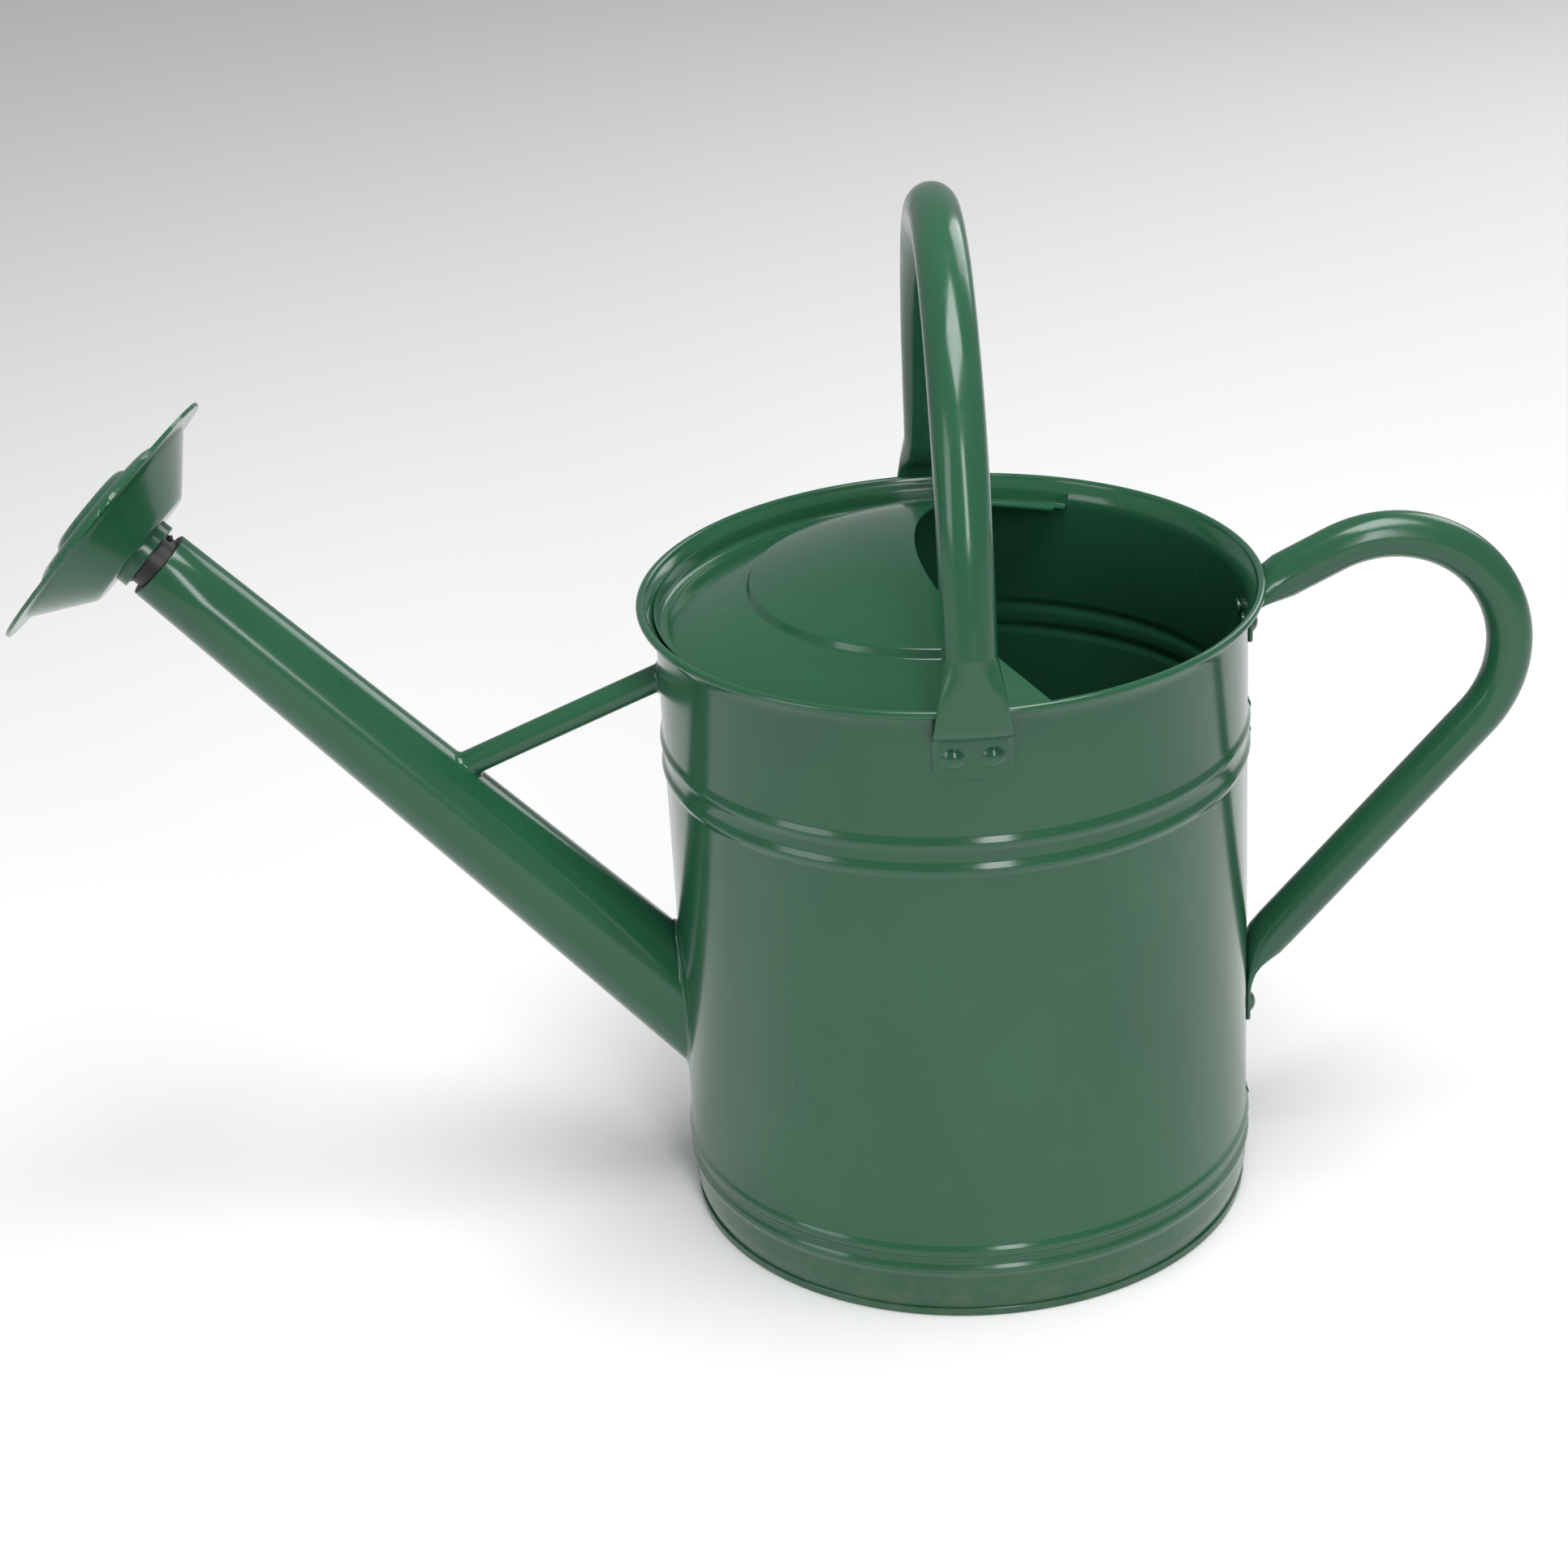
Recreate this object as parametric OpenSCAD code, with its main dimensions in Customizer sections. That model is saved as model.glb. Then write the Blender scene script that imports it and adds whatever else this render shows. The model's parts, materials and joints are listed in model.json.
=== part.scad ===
// Steel garden watering can: a rolled tank with a domed splash cover, a braced
// spout, an arched carrying handle, a pouring handle and a screw-on rose.
// Millimetres. The origin is the middle of the standing ring, on the ground.
// +Z is up, the spout points to -X and the pouring handle to +X.

/* [Tank] */
// Outside radius of the tank wall
tank_r = 108.5; // [98:0.1:131]
// Height of the middle of the rolled rim
rim_z = 246.5; // [225:0.5:296]
// How far the wall flares out below the rim, to the middle of the rim
rim_out = 4.9; // [4:0.1:7]
// Radius of the wire inside the rim
wire_r = 0.85; // [0.6:0.05:1.5]
// Thickness of the painted sheet
sheet = 0.7; // [0.5:0.05:0.9]
// How far the foot of the wall is drawn in
foot_in = 1.5; // [0:0.1:3]
// Height of the base above the ground
base_lift = 6; // [5:0.5:12]
// Height of the seam that holds the base
seam_h = 3.2; // [2:0.1:4]
// Heights of the two swaged beads near the foot
low_beads = [20.5, 28.5];
// Depths of the two swaged beads below the rim
high_beads = [61.5, 51.5];
// How far a bead stands out
bead_out = 1.2; // [0.6:0.1:2]
// Width of a bead
bead_w = 7; // [5:0.5:8]

/* [Splash cover] */
// Depth of the cover's gutter below the middle of the rim
gutter_drop = 8.5; // [5:0.5:12]
// Radius where the sloping band meets the dome
dome_r = 75.5; // [60:0.5:85]
// Height of the dome's edge above the middle of the rim
dome_edge_up = 3; // [0:0.5:8]
// Height of the small step around the dome
dome_step = 3.7; // [2:0.1:6]
// Height of the dome's top above the middle of the rim
dome_top_up = 20.5; // [14:0.5:30]
// Radius of the free edge's curve
mouth_r = 107.5; // [90:0.5:120]
// How far the free edge reaches past the middle of the tank
mouth_reach = 12; // [0:1:30]
// Angle from the back at which the cover's flange ends
tail_angle = 65; // [55:1:70]
// How far the cover sits turned from square
cover_turn = 4; // [0:1:8]

/* [Spout] */
// Height at which the spout's axis leaves the wall
spout_z = 84.5; // [70:0.5:100]
// Angle of the spout above the ground
spout_angle = 46.8; // [44:0.2:49]
// Length of the spout's axis from the wall to the lip
spout_len = 259.6; // [240:0.2:290]
// Outside radius of the spout at the wall
spout_root_r = 19.5; // [17:0.1:22]
// Outside radius of the spout at the lip
spout_tip_r = 13.45; // [12.5:0.05:16]
// Width of the flange that joins the spout to the wall
foot_flange = 2.6; // [1.5:0.1:4]
// Depth below the middle of the rim at which the brace's axis leaves the wall
brace_under = 29.1; // [25.5:0.1:38]
// Angle at which the brace falls towards the spout
brace_drop = 22.6; // [18:0.2:30]
// Outside radius of the brace
brace_r = 5; // [4:0.25:6.5]
// Wall of the brace and handle tubes
tube_wall = 1.2; // [0.8:0.1:1.6]

/* [Top handle] */
// Outside radius of the top handle's tube
grip_r = 9.45; // [8:0.05:11]
// Height of the tube's middle at the top of the arch, above the middle of the rim
arch_rise = 138; // [126:0.5:166]
// How much smaller the arch's radius, to the tube's middle, is than the tank's
arch_in = 2.4; // [1:0.1:6]
// Angle at which the legs lean inwards
leg_lean = 9; // [5:0.5:12]
// Width of the flattened end
tab_w = 28; // [24:0.5:34]

/* [Pouring handle] */
// Outside radius of the pouring handle's tube
pour_r = 8.5; // [7.5:0.1:10]
// Distance of the bend's middle from the tank wall
bend_out = 52.7; // [48:0.1:62]
// Depth of the bend's middle below the rim
bend_drop = 35.3; // [30:0.1:42]
// Radius of the bend, to the tube's middle
bend_r = 45.5; // [40:0.5:52]
// Slope of the long straight run
run_slope = 48.45; // [44:0.05:52]
// Slope of the short run under the rim
top_slope = 26.4; // [20:0.2:32]
// Width of the flattened ends
pour_tab_w = 25; // [20:0.5:30]
// Height of the lower rivets
low_rivet_z = 69; // [60:0.5:80]

/* [Rivets] */
// Depth of the upper rivets below the middle of the rim
rivet_drop = 18; // [16:0.5:21]
// Distance between the two rivets of a pair
rivet_pitch = 13.8; // [11:0.2:16]
// Radius of a rivet's domed head
rivet_head_r = 4; // [3:0.1:5]
// Height of a rivet's domed head
rivet_head_h = 2; // [1.2:0.1:2.5]
// Radius of a rivet's shank
rivet_r = 2; // [1.5:0.1:2.5]
// Thickness of a flattened tube end where it is riveted
tab_t = 2; // [1.6:0.1:2.6]

/* [Rose] */
// How far the connector leans in the spout's mouth
rose_lean = 9.4; // [0:0.2:10]
// Way in which it leans, round the spout's axis
lean_way = 116; // [0:1:359]
// Outside radius of the connector's thread
thread_r = 11.3; // [10.5:0.1:11.5]
// Distance from one turn of the thread to the next
thread_pitch = 3; // [2:0.25:4]
// Gap between the spout's lip and the collar
collar_gap = 4; // [3:0.1:6]
// Outside radius of the collar
collar_r = 13.45; // [13:0.05:15]
// Length of the collar outside the shell
collar_out = 4.1; // [3:0.1:6]
// Radius of the shell's back
shell_back_r = 24.7; // [20:0.1:28]
// Radius at which the shell meets the flange
shell_r = 44.3; // [38:0.1:48]
// Depth of the shell, from its back to the flange
shell_depth = 16.6; // [12:0.2:20]
// Radius of the rose over its rolled edge
rose_r = 54.1; // [51:0.1:60]
// Radius and rise of the face's outer step
outer_boss = [32, 3.3];
// Radius and rise of the face's inner step
inner_boss = [19, 2.9];
// Radius of a spray hole
spray_r = 0.7; // [0.5:0.05:1]
// Distance between the rings of spray holes
spray_pitch = 4.5; // [4.3:0.1:4.6]
// Rings that have holes, counted from the middle. Ring n has 6 n holes.
spray_rows = [0, 1, 2, 3, 5, 6];

/* [Clearances] */
// Running clearance of the thread, on the radius
thread_clear = 0.08; // [0.02:0.01:0.1]
// Gap between the connector's end and the washer
washer_gap = 0.1; // [0.05:0.05:0.2]
// Clearance of a rivet's shank in its holes
rivet_clear = 0.05; // [0.02:0.01:0.1]
// Gap between folded sheets
fold_gap = 0.02; // [0.01:0.01:0.05]

/* [Hidden] */
$fn = 96;

green = [0.11, 0.30, 0.20];
black = [0.05, 0.05, 0.05];

// Rim
curl_r = wire_r + fold_gap + sheet;          // outside of the curl round the wire
rim_r = tank_r + rim_out;                    // middle of the rim
brace_z = rim_z - brace_under;
arch_top_z = rim_z + arch_rise;
arch_r = tank_r - arch_in;
flare_end = rim_r - wire_r - fold_gap;       // outside of the wall where the curl starts
flare_z = rim_z - curl_r - rim_out * 1.4;    // where the flare starts
flare_steps = 6;
bead_steps = 8;
foot_z = 10;                                 // where the drawn-in foot ends
foot_r = tank_r - foot_in;
wall_foot_z = sheet + fold_gap;              // lower edge of the wall, inside the seam

// Riveted tabs
rim_edge = rim_r + curl_r;                   // outermost radius of the rim
rim_gap = 0.5;                               // between the rim and a flattened tube
upper_rivet_z = rim_z - rivet_drop;
tab_end = 7.5;                               // from a rivet's middle to the tab's lower edge
tab_up = 7.5;                                // from a rivet's middle to the tab's bend
tube_step = 0.03;                            // a straight tube's skin, inside the bend's
strap_t = 3.4;                               // thickness of the flattened tube above the bend
tab_corner = 4;
tail_r = 3.2;                                // closed end of a rivet, inside the tank
tail_h = 1.2;
wall_sag = 0.6;                              // inner wall's curve over half a rivet pair

// Spout and connector
spout_slope = (spout_root_r - spout_tip_r) / spout_len;
brace_reach = (brace_z - spout_z) / (tan(spout_angle) + tan(brace_drop));
sleeve_len = 18;
sleeve_gap = 0.05;
spigot_len = collar_gap + 9;                 // threaded length outside the lip
core_r = thread_r - 0.9;
bore_r = 8;
washer_t = 1.3;
collar_end_t = 1.5;
collar_end_z = spigot_len + washer_gap + washer_t + washer_gap;
collar_bore_r = thread_r + thread_clear;
shell_z = collar_gap + collar_out;           // outside of the shell's back
flange_z = shell_z + shell_depth;            // back of the shell's flange
hem = 0.9;                                   // width of the fold at the face's edge

// ---------------------------------------------------------------- outlines

// Unit normal on the right of a step from p to q
function step_normal(p, q) = let (d = (q - p) / norm(q - p)) [d[1], -d[0]];

// Shift of corner i of a path that moves each step t to its right
function corner_shift(path, i, t) =
    let (a = step_normal(path[max(i - 1, 0)], path[max(i, 1)]),
         n = len(path) - 1,
         b = step_normal(path[min(i, n - 1)], path[min(i + 1, n)]),
         m = (a + b) / norm(a + b))
    m * t / (m * b);

// The same point, but never on the far side of the axis
function on_side(p) = [max(0, p[0]), p[1]];

// Closed outline of a sheet of thickness t on the right of a path
function sheet_outline(path, t) =
    concat(path, [for (i = [len(path) - 1 : -1 : 0]) on_side(path[i] + corner_shift(path, i, t))]);

// Height of a bead's cross-section at a distance d from its middle
function bead_bulge(d) = bead_out * pow(cos(180 * d / bead_w), 2);

// Points of the wall's outside over one bead
function bead_path(z) =
    [for (k = [0 : bead_steps])
        let (d = bead_w * (k / bead_steps - 0.5)) [tank_r + bead_bulge(d), z + d]];

// Points of the wall's outside over the flare
function flare_path() =
    [for (k = [0 : flare_steps])
        let (s = k / flare_steps)
        [tank_r + (flare_end - tank_r) * s * s, flare_z + (rim_z - flare_z) * s]];

function wall_path() =
    concat([[foot_r, wall_foot_z], [foot_r, seam_h + 1], [tank_r, foot_z]],
           bead_path(low_beads[0]), bead_path(low_beads[1]),
           bead_path(rim_z - high_beads[0]), bead_path(rim_z - high_beads[1]),
           flare_path());

// Turns an outline of [radius, height] points round Z
module turned(points) { rotate_extrude() polygon(points); }

module ring(r_out, r_in, z0, z1) {
    translate([0, 0, z0])
        difference() {
            cylinder(h = z1 - z0, r = r_out);
            translate([0, 0, -1]) cylinder(h = z1 - z0 + 2, r = r_in);
        }
}

// ---------------------------------------------------------------- places

// The spout's own frame: Z along its axis from the wall, X upwards
module along_spout() {
    translate([-tank_r, 0, spout_z]) rotate([0, spout_angle - 90, 0]) children();
}

// The connector's frame: Z along its leaning axis from the middle of the lip
module along_rose() {
    along_spout() translate([0, 0, spout_len])
        rotate([0, 0, lean_way]) rotate([0, rose_lean, 0]) rotate([0, 0, -lean_way]) children();
}

// The brace's frame: Z along its axis, from the wall down to the spout
module along_brace() {
    translate([-tank_r, 0, brace_z]) rotate([0, -90 - brace_drop, 0]) children();
}

// A straight run of handle tube, closed at its start. Its far end enters the
// wall of the bent tube that follows.
module straight_tube(r, length) {
    difference() {
        cylinder(h = length + 1, r = r - tube_step);
        translate([0, 0, 2]) cylinder(h = length, r = r - tube_wall + tube_step);
    }
}

// Ends of the blend from a round tube to a flattened one. Both stand a hair
// proud of the tube and the tab that they join.
module blend_end(r) { cylinder(h = 1, r = r / cos(180 / 32) + tube_step, $fn = 32); }

module blend_block(corner, size) {
    translate(corner - tube_step * [1, 1, 0]) cube(size + 2 * tube_step * [1, 1, 0]);
}

module inside_of_tank() { cylinder(h = rim_z + 50, r = tank_r); }

// A pair of rivets side by side, pointing out along +X at height z
module rivet_places(z) {
    for (side = [-1, 1]) translate([0, side * rivet_pitch / 2, z]) rotate([0, 90, 0]) children();
}

// ---------------------------------------------------------------- tank

// Holes for a pair of rivets that points along +X
module rivet_holes(z) {
    rivet_places(z) cylinder(h = rim_edge + 10, r = rivet_r + rivet_clear);
}

module tank_wall() {
    color(green) difference() {
        union() {
            turned(sheet_outline(wall_path(), -sheet));
            rotate_extrude() translate([rim_r, rim_z]) difference() {
                circle(r = curl_r);
                circle(r = wire_r + fold_gap);
            }
        }
        along_spout() translate([0, 0, -40]) cylinder(h = 80, r = spout_root_r - sheet);
        for (turn = [-90, 90, 0]) rotate([0, 0, turn]) rivet_holes(upper_rivet_z);
        rivet_holes(low_rivet_z);
    }
}

module rim_wire() {
    color("gray") rotate_extrude() translate([rim_r, rim_z]) circle(r = wire_r);
}

// The base's skirt runs down inside the wall and folds up round its lower edge
module base_pan() {
    skirt_r = foot_r - sheet - fold_gap;
    color(green) {
        turned([[0, base_lift], [skirt_r - sheet, base_lift], [skirt_r - sheet, 0],
                [foot_r + fold_gap + sheet, 0], [foot_r + fold_gap + sheet, seam_h],
                [foot_r + fold_gap, seam_h], [foot_r + fold_gap, sheet],
                [skirt_r, sheet], [skirt_r, base_lift + sheet], [0, base_lift + sheet]]);
    }
}

// ---------------------------------------------------------------- splash cover

// Points of the cover's top side, from the middle of the dome to the rim
function cover_path() =
    let (edge_z = rim_z + dome_edge_up,
         step_r = dome_r - dome_step * 0.9,
         top_z = rim_z + dome_top_up,
         rise = top_z - edge_z - dome_step,
         cap_r = (step_r * step_r + rise * rise) / (2 * rise),
         gutter_z = rim_z - gutter_drop,
         wall_in = tank_r - sheet - fold_gap)
    concat([for (k = [0 : 9])
                let (a = asin(step_r / cap_r) * k / 9)
                [cap_r * sin(a), top_z - cap_r * (1 - cos(a))]],
           [[dome_r, edge_z], [wall_in - 7, gutter_z + 1], [wall_in - 3.5, gutter_z],
            [wall_in - sheet, gutter_z + 2.5], [wall_in - sheet + 0.8, rim_z - 2.5]]);

// The part of the cover that is cut away, seen from above: a round front edge
// that runs out into straight cuts at 45 degrees
module mouth_outline() {
    wide = 1.5 * tank_r;
    mid = mouth_r - mouth_reach;
    arc_steps = 10;
    knee = mouth_r * cos(45);
    arc = [for (k = [-arc_steps : arc_steps])
              let (a = 180 - 45 * k / arc_steps) [mid + mouth_r * cos(a), mouth_r * sin(a)]];
    polygon(concat(arc, [[mid - knee + wide, knee + wide], [4 * wide, 0],
                         [mid - knee + wide, -knee - wide]]));
}

module splash_cover() {
    gutter_r = tank_r - 2.5;   // leaves only the upright flange at the tails
    reach = 3 * tank_r;
    color(green) rotate([0, 0, -cover_turn]) difference() {
        turned(sheet_outline(cover_path(), sheet));
        translate([0, 0, rim_z - 30]) linear_extrude(80) intersection() {
            mouth_outline();
            circle(r = gutter_r);
        }
        translate([0, 0, rim_z - 30]) linear_extrude(80)
            polygon([[0, 0], [reach * cos(tail_angle), -reach * sin(tail_angle)],
                     [reach * cos(tail_angle), reach * sin(tail_angle)]]);
    }
}

// ---------------------------------------------------------------- spout

module spout_solid(inset, start) {
    along_spout() translate([0, 0, start])
        cylinder(h = spout_len - start, r1 = spout_root_r - inset - start * spout_slope,
                 r2 = spout_tip_r - inset);
}

module spout_tube() {
    color(green) difference() {
        union() {
            spout_solid(0, -40);
            intersection() {
                cylinder(h = rim_z, r = tank_r + sheet);
                along_spout() translate([0, 0, -40])
                    cylinder(h = 80, r = spout_root_r + foot_flange);
            }
        }
        along_spout() translate([0, 0, -41])
            cylinder(h = spout_len + 42, r1 = spout_root_r - sheet + 41 * spout_slope,
                     r2 = spout_tip_r - sheet - spout_slope);
        inside_of_tank();
    }
}

module spout_brace() {
    color(green) difference() {
        along_brace() translate([0, 0, -5]) difference() {
            cylinder(h = brace_reach / cos(brace_drop) + 5, r = brace_r);
            translate([0, 0, -1])
                cylinder(h = brace_reach / cos(brace_drop) + 7, r = brace_r - tube_wall);
        }
        inside_of_tank();
        spout_solid(0, -20);
    }
}

// ---------------------------------------------------------------- riveted ends

// Face of a tab, seen from outside: straight sides, rounded lower corners
module tab_face(w, z0, z1) {
    translate([-w / 2, z0 + tab_corner]) square([w, z1 - z0 - tab_corner]);
    translate([-w / 2 + tab_corner, z0]) square([w - 2 * tab_corner, tab_corner + 1]);
    for (side = [-1, 1]) translate([side * (w / 2 - tab_corner), z0 + tab_corner])
        circle(r = tab_corner);
}

// A tab on the outside of the wall, facing +X. side lists its [x, z] outline.
module tab(side, w, z0, z1) {
    difference() {
        intersection() {
            rotate([90, 0, 0]) translate([0, 0, -w / 2]) linear_extrude(w) polygon(side);
            translate([tank_r - 10, 0, 0]) rotate([90, 0, 90]) linear_extrude(40)
                tab_face(w, z0, z1);
        }
        inside_of_tank();
        rivet_holes(z0 + tab_end);
    }
}

// Both rivets of a pair, pointing out along +X
module rivet_pair(z) {
    cap_r = (rivet_head_r * rivet_head_r + rivet_head_h * rivet_head_h) / (2 * rivet_head_h);
    seat = tank_r + tab_t;
    tail_x = tank_r - sheet - wall_sag;
    color(green) rivet_places(z) {
        translate([0, 0, tail_x - tail_h]) cylinder(h = tail_h, r = tail_r);
        translate([0, 0, tail_x - 0.5]) cylinder(h = seat - tail_x + 0.6, r = rivet_r);
        translate([0, 0, seat]) intersection() {
            translate([0, 0, rivet_head_h - cap_r]) sphere(r = cap_r);
            cylinder(h = rivet_head_h + 1, r = rivet_head_r);
        }
    }
}

// ---------------------------------------------------------------- top handle

module top_handle_foot() {
    arc_y = arch_r * cos(leg_lean);
    arc_z = arch_top_z - arch_r + arch_r * sin(leg_lean);
    flat_z = rim_z + curl_r + 1.5;
    leg_end_z = flat_z + 16;
    leg = (arc_z - leg_end_z) / cos(leg_lean);
    strap_x = rim_edge + rim_gap;
    bend_z = upper_rivet_z + tab_up;
    tab([[tank_r - 4, bend_z - 2 * tab_up], [tank_r + tab_t, bend_z - 2 * tab_up],
         [tank_r + tab_t, bend_z], [strap_x + strap_t, bend_z + 2],
         [strap_x + strap_t, flat_z + 1], [strap_x, flat_z + 1], [strap_x, bend_z + 5],
         [tank_r + 1, bend_z + 3], [tank_r - 4, bend_z + 1]],
        tab_w, upper_rivet_z - tab_end, flat_z + 1);
    hull() {
        blend_block([strap_x, -tab_w / 2, flat_z], [strap_t, tab_w, 1.5]);
        translate([arc_y, 0, arc_z]) rotate([0, -leg_lean, 0]) translate([0, 0, -leg])
            blend_end(grip_r);
    }
    translate([arc_y, 0, arc_z]) rotate([0, -leg_lean, 0]) translate([0, 0, -leg])
        straight_tube(grip_r, leg);
}

module top_handle() {
    color(green) {
        translate([0, 0, arch_top_z - arch_r]) rotate([90, 0, 90]) rotate([0, 0, leg_lean])
            rotate_extrude(angle = 180 - 2 * leg_lean) translate([arch_r, 0]) difference() {
                circle(r = grip_r);
                circle(r = grip_r - tube_wall);
            }
        for (turn = [-90, 90]) rotate([0, 0, turn]) top_handle_foot();
    }
}

module top_handle_front_rivets() { rotate([0, 0, -90]) rivet_pair(upper_rivet_z); }
module top_handle_back_rivets() { rotate([0, 0, 90]) rivet_pair(upper_rivet_z); }

// ---------------------------------------------------------------- pouring handle

// A straight run of the pouring handle: from the end of the bend at the angle
// given, for a length, and then flattened onto a block low..high at the wall
module pour_run(bend_angle, way, length, low, high) {
    start = [tank_r + bend_out + bend_r * cos(bend_angle), 0,
             rim_z - bend_drop + bend_r * sin(bend_angle)];
    translate(start) rotate([0, way, 0]) translate([0, 0, length]) mirror([0, 0, 1])
        straight_tube(pour_r, length);
    hull() {
        translate(start) rotate([0, way, 0]) translate([0, 0, length - 1]) blend_end(pour_r);
        blend_block([low[0], -pour_tab_w / 2, low[1]],
                    [high[0] - low[0], pour_tab_w, high[1] - low[1]]);
    }
}

module pouring_handle() {
    bend_mid = [tank_r + bend_out, 0, rim_z - bend_drop];
    up_bend = upper_rivet_z + tab_up - 2;
    up_block = [[tank_r + 2.5, up_bend + 2], [tank_r + 6, up_bend + 6.5]];
    low_bend = low_rivet_z + tab_up + 2;
    low_block = [[tank_r + 0.5, low_bend + 4], [tank_r + 5, low_bend + 14]];
    color(green) {
        translate(bend_mid) rotate([90, 0, 0]) rotate([0, 0, run_slope - 90])
            rotate_extrude(angle = 180 + top_slope - run_slope) translate([bend_r, 0])
                difference() {
                    circle(r = pour_r);
                    circle(r = pour_r - tube_wall);
                }
        // run under the rim, and its tab
        pour_run(90 + top_slope, -90 - top_slope,
                 (bend_out - bend_r * sin(top_slope) - 19) / cos(top_slope), up_block[0], up_block[1]);
        tab([[tank_r - 4, up_bend - 2 * tab_up], [tank_r + tab_t, up_bend - 2 * tab_up],
             [tank_r + tab_t, up_bend], [up_block[1][0], up_block[0][1]], up_block[1],
             [up_block[0][0], up_block[1][1]], [tank_r + 1, up_bend + 1], [tank_r - 4, up_bend]],
            pour_tab_w, upper_rivet_z - tab_end, up_block[1][1]);
        // long run down to the lower tab
        pour_run(run_slope - 90, -180 + 90 - run_slope,
                 (bend_out + bend_r * sin(run_slope) - 17) / cos(run_slope), low_block[0], low_block[1]);
        tab([[tank_r - 4, low_bend - 3 * tab_up], [tank_r + tab_t, low_bend - 3 * tab_up],
             [tank_r + tab_t, low_bend], [low_block[1][0], low_block[0][1]], low_block[1],
             [low_block[0][0], low_block[1][1]], [tank_r - 4, low_block[1][1]]],
            pour_tab_w, low_rivet_z - tab_end, low_block[1][1]);
    }
}

module pouring_handle_upper_rivets() { rivet_pair(upper_rivet_z); }
module pouring_handle_lower_rivets() { rivet_pair(low_rivet_z); }

// ---------------------------------------------------------------- connector and rose

// One turn of the thread, as a ring with sloping flanks
module thread_turn(z) {
    w = thread_pitch * 0.4;
    turned([[core_r - 0.5, z - w], [core_r, z - w], [thread_r, z - w / 3], [thread_r, z + w / 3],
            [core_r, z + w], [core_r - 0.5, z + w]]);
}

module spout_connector() {
    first_turn = collar_gap * 0.6;
    sleeve_r = spout_tip_r - sheet - sleeve_gap;
    color(black) difference() {
        union() {
            along_spout() translate([0, 0, spout_len - sleeve_len])
                cylinder(h = sleeve_len, r1 = sleeve_r + sleeve_len * spout_slope, r2 = sleeve_r);
            along_rose() {
                translate([0, 0, -3]) cylinder(h = spigot_len + 3, r = core_r);
                for (z = [first_turn : thread_pitch : spigot_len - 1]) thread_turn(z);
            }
        }
        along_spout() translate([0, 0, spout_len - sleeve_len - 1])
            cylinder(h = sleeve_len - 3, r = sleeve_r - 2);
        along_rose() translate([0, 0, -8]) cylinder(h = spigot_len + 10, r = bore_r);
    }
}

module sealing_washer() {
    z0 = spigot_len + washer_gap;
    color(black) along_rose() ring(collar_bore_r - 0.2, bore_r + 0.3, z0, z0 + washer_t);
}

module rose_collar() {
    color(green) along_rose() turned([
        [collar_bore_r, collar_gap], [collar_r, collar_gap],
        [collar_r, collar_end_z + collar_end_t], [bore_r, collar_end_z + collar_end_t],
        [bore_r, collar_end_z], [collar_bore_r, collar_end_z]]);
}

// Points of the shell's outside, from the collar to the edge of its flange
function shell_path() =
    [[collar_r + fold_gap, shell_z], [shell_back_r - 1.5, shell_z + 0.2],
     [shell_back_r, shell_z + 0.9], [shell_r, flange_z - 0.4], [shell_r + 0.8, flange_z],
     [rose_r - hem, flange_z]];

module rose_shell() {
    color(green) along_rose() turned(sheet_outline(shell_path(), -sheet));
}

// Points of the face's front, from the middle to the edge
function face_path() =
    let (z0 = flange_z + 2 * sheet + fold_gap,
         z1 = z0 + outer_boss[1],
         z2 = z1 + inner_boss[1])
    [[0, z2], [inner_boss[0] - 3, z2], [inner_boss[0] - 1.2, z2 - 0.8],
     [inner_boss[0] + 1, z1], [outer_boss[0] - 3.6, z1], [outer_boss[0] - 1.4, z1 - 0.8],
     [outer_boss[0] + 1.5, z0], [rose_r, z0]];

// The face's edge folds back over the edge of the shell's flange
module rose_face() {
    z0 = flange_z + 2 * sheet + fold_gap;
    color(green) along_rose() difference() {
        union() {
            turned(sheet_outline(face_path(), sheet));
            ring(rose_r, rose_r - hem + fold_gap, flange_z, z0 - sheet / 2);
        }
        for (row = spray_rows, k = [0 : max(1, 6 * row) - 1])
            rotate([0, 0, 60 * k / max(1, row)]) translate([row * spray_pitch, 0, z0 - 2])
                cylinder(h = 12, r = spray_r);
    }
}

tank_wall();
rim_wire();
base_pan();
splash_cover();
spout_tube();
spout_brace();
top_handle();
top_handle_front_rivets();
top_handle_back_rivets();
pouring_handle();
pouring_handle_upper_rivets();
pouring_handle_lower_rivets();
spout_connector();
sealing_washer();
rose_collar();
rose_shell();
rose_face();
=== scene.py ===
# %% [markdown]
# # A steel garden watering can
# The can is a rolled sheet tank with a domed cover over half its mouth, a long tapered spout with a
# brace, two tube handles riveted on, and a rose that screws onto a black connector in the spout.
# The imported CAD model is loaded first, as a fixed frame: it says where every piece is. The pieces
# that the eye judges by their curves are then modelled again with finer steps and softer edges, in
# the same places, and the rest are kept and only painted.

# %% Load the frame
import json
import math
import bmesh
import bpy
from mathutils import Matrix, Vector


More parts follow.
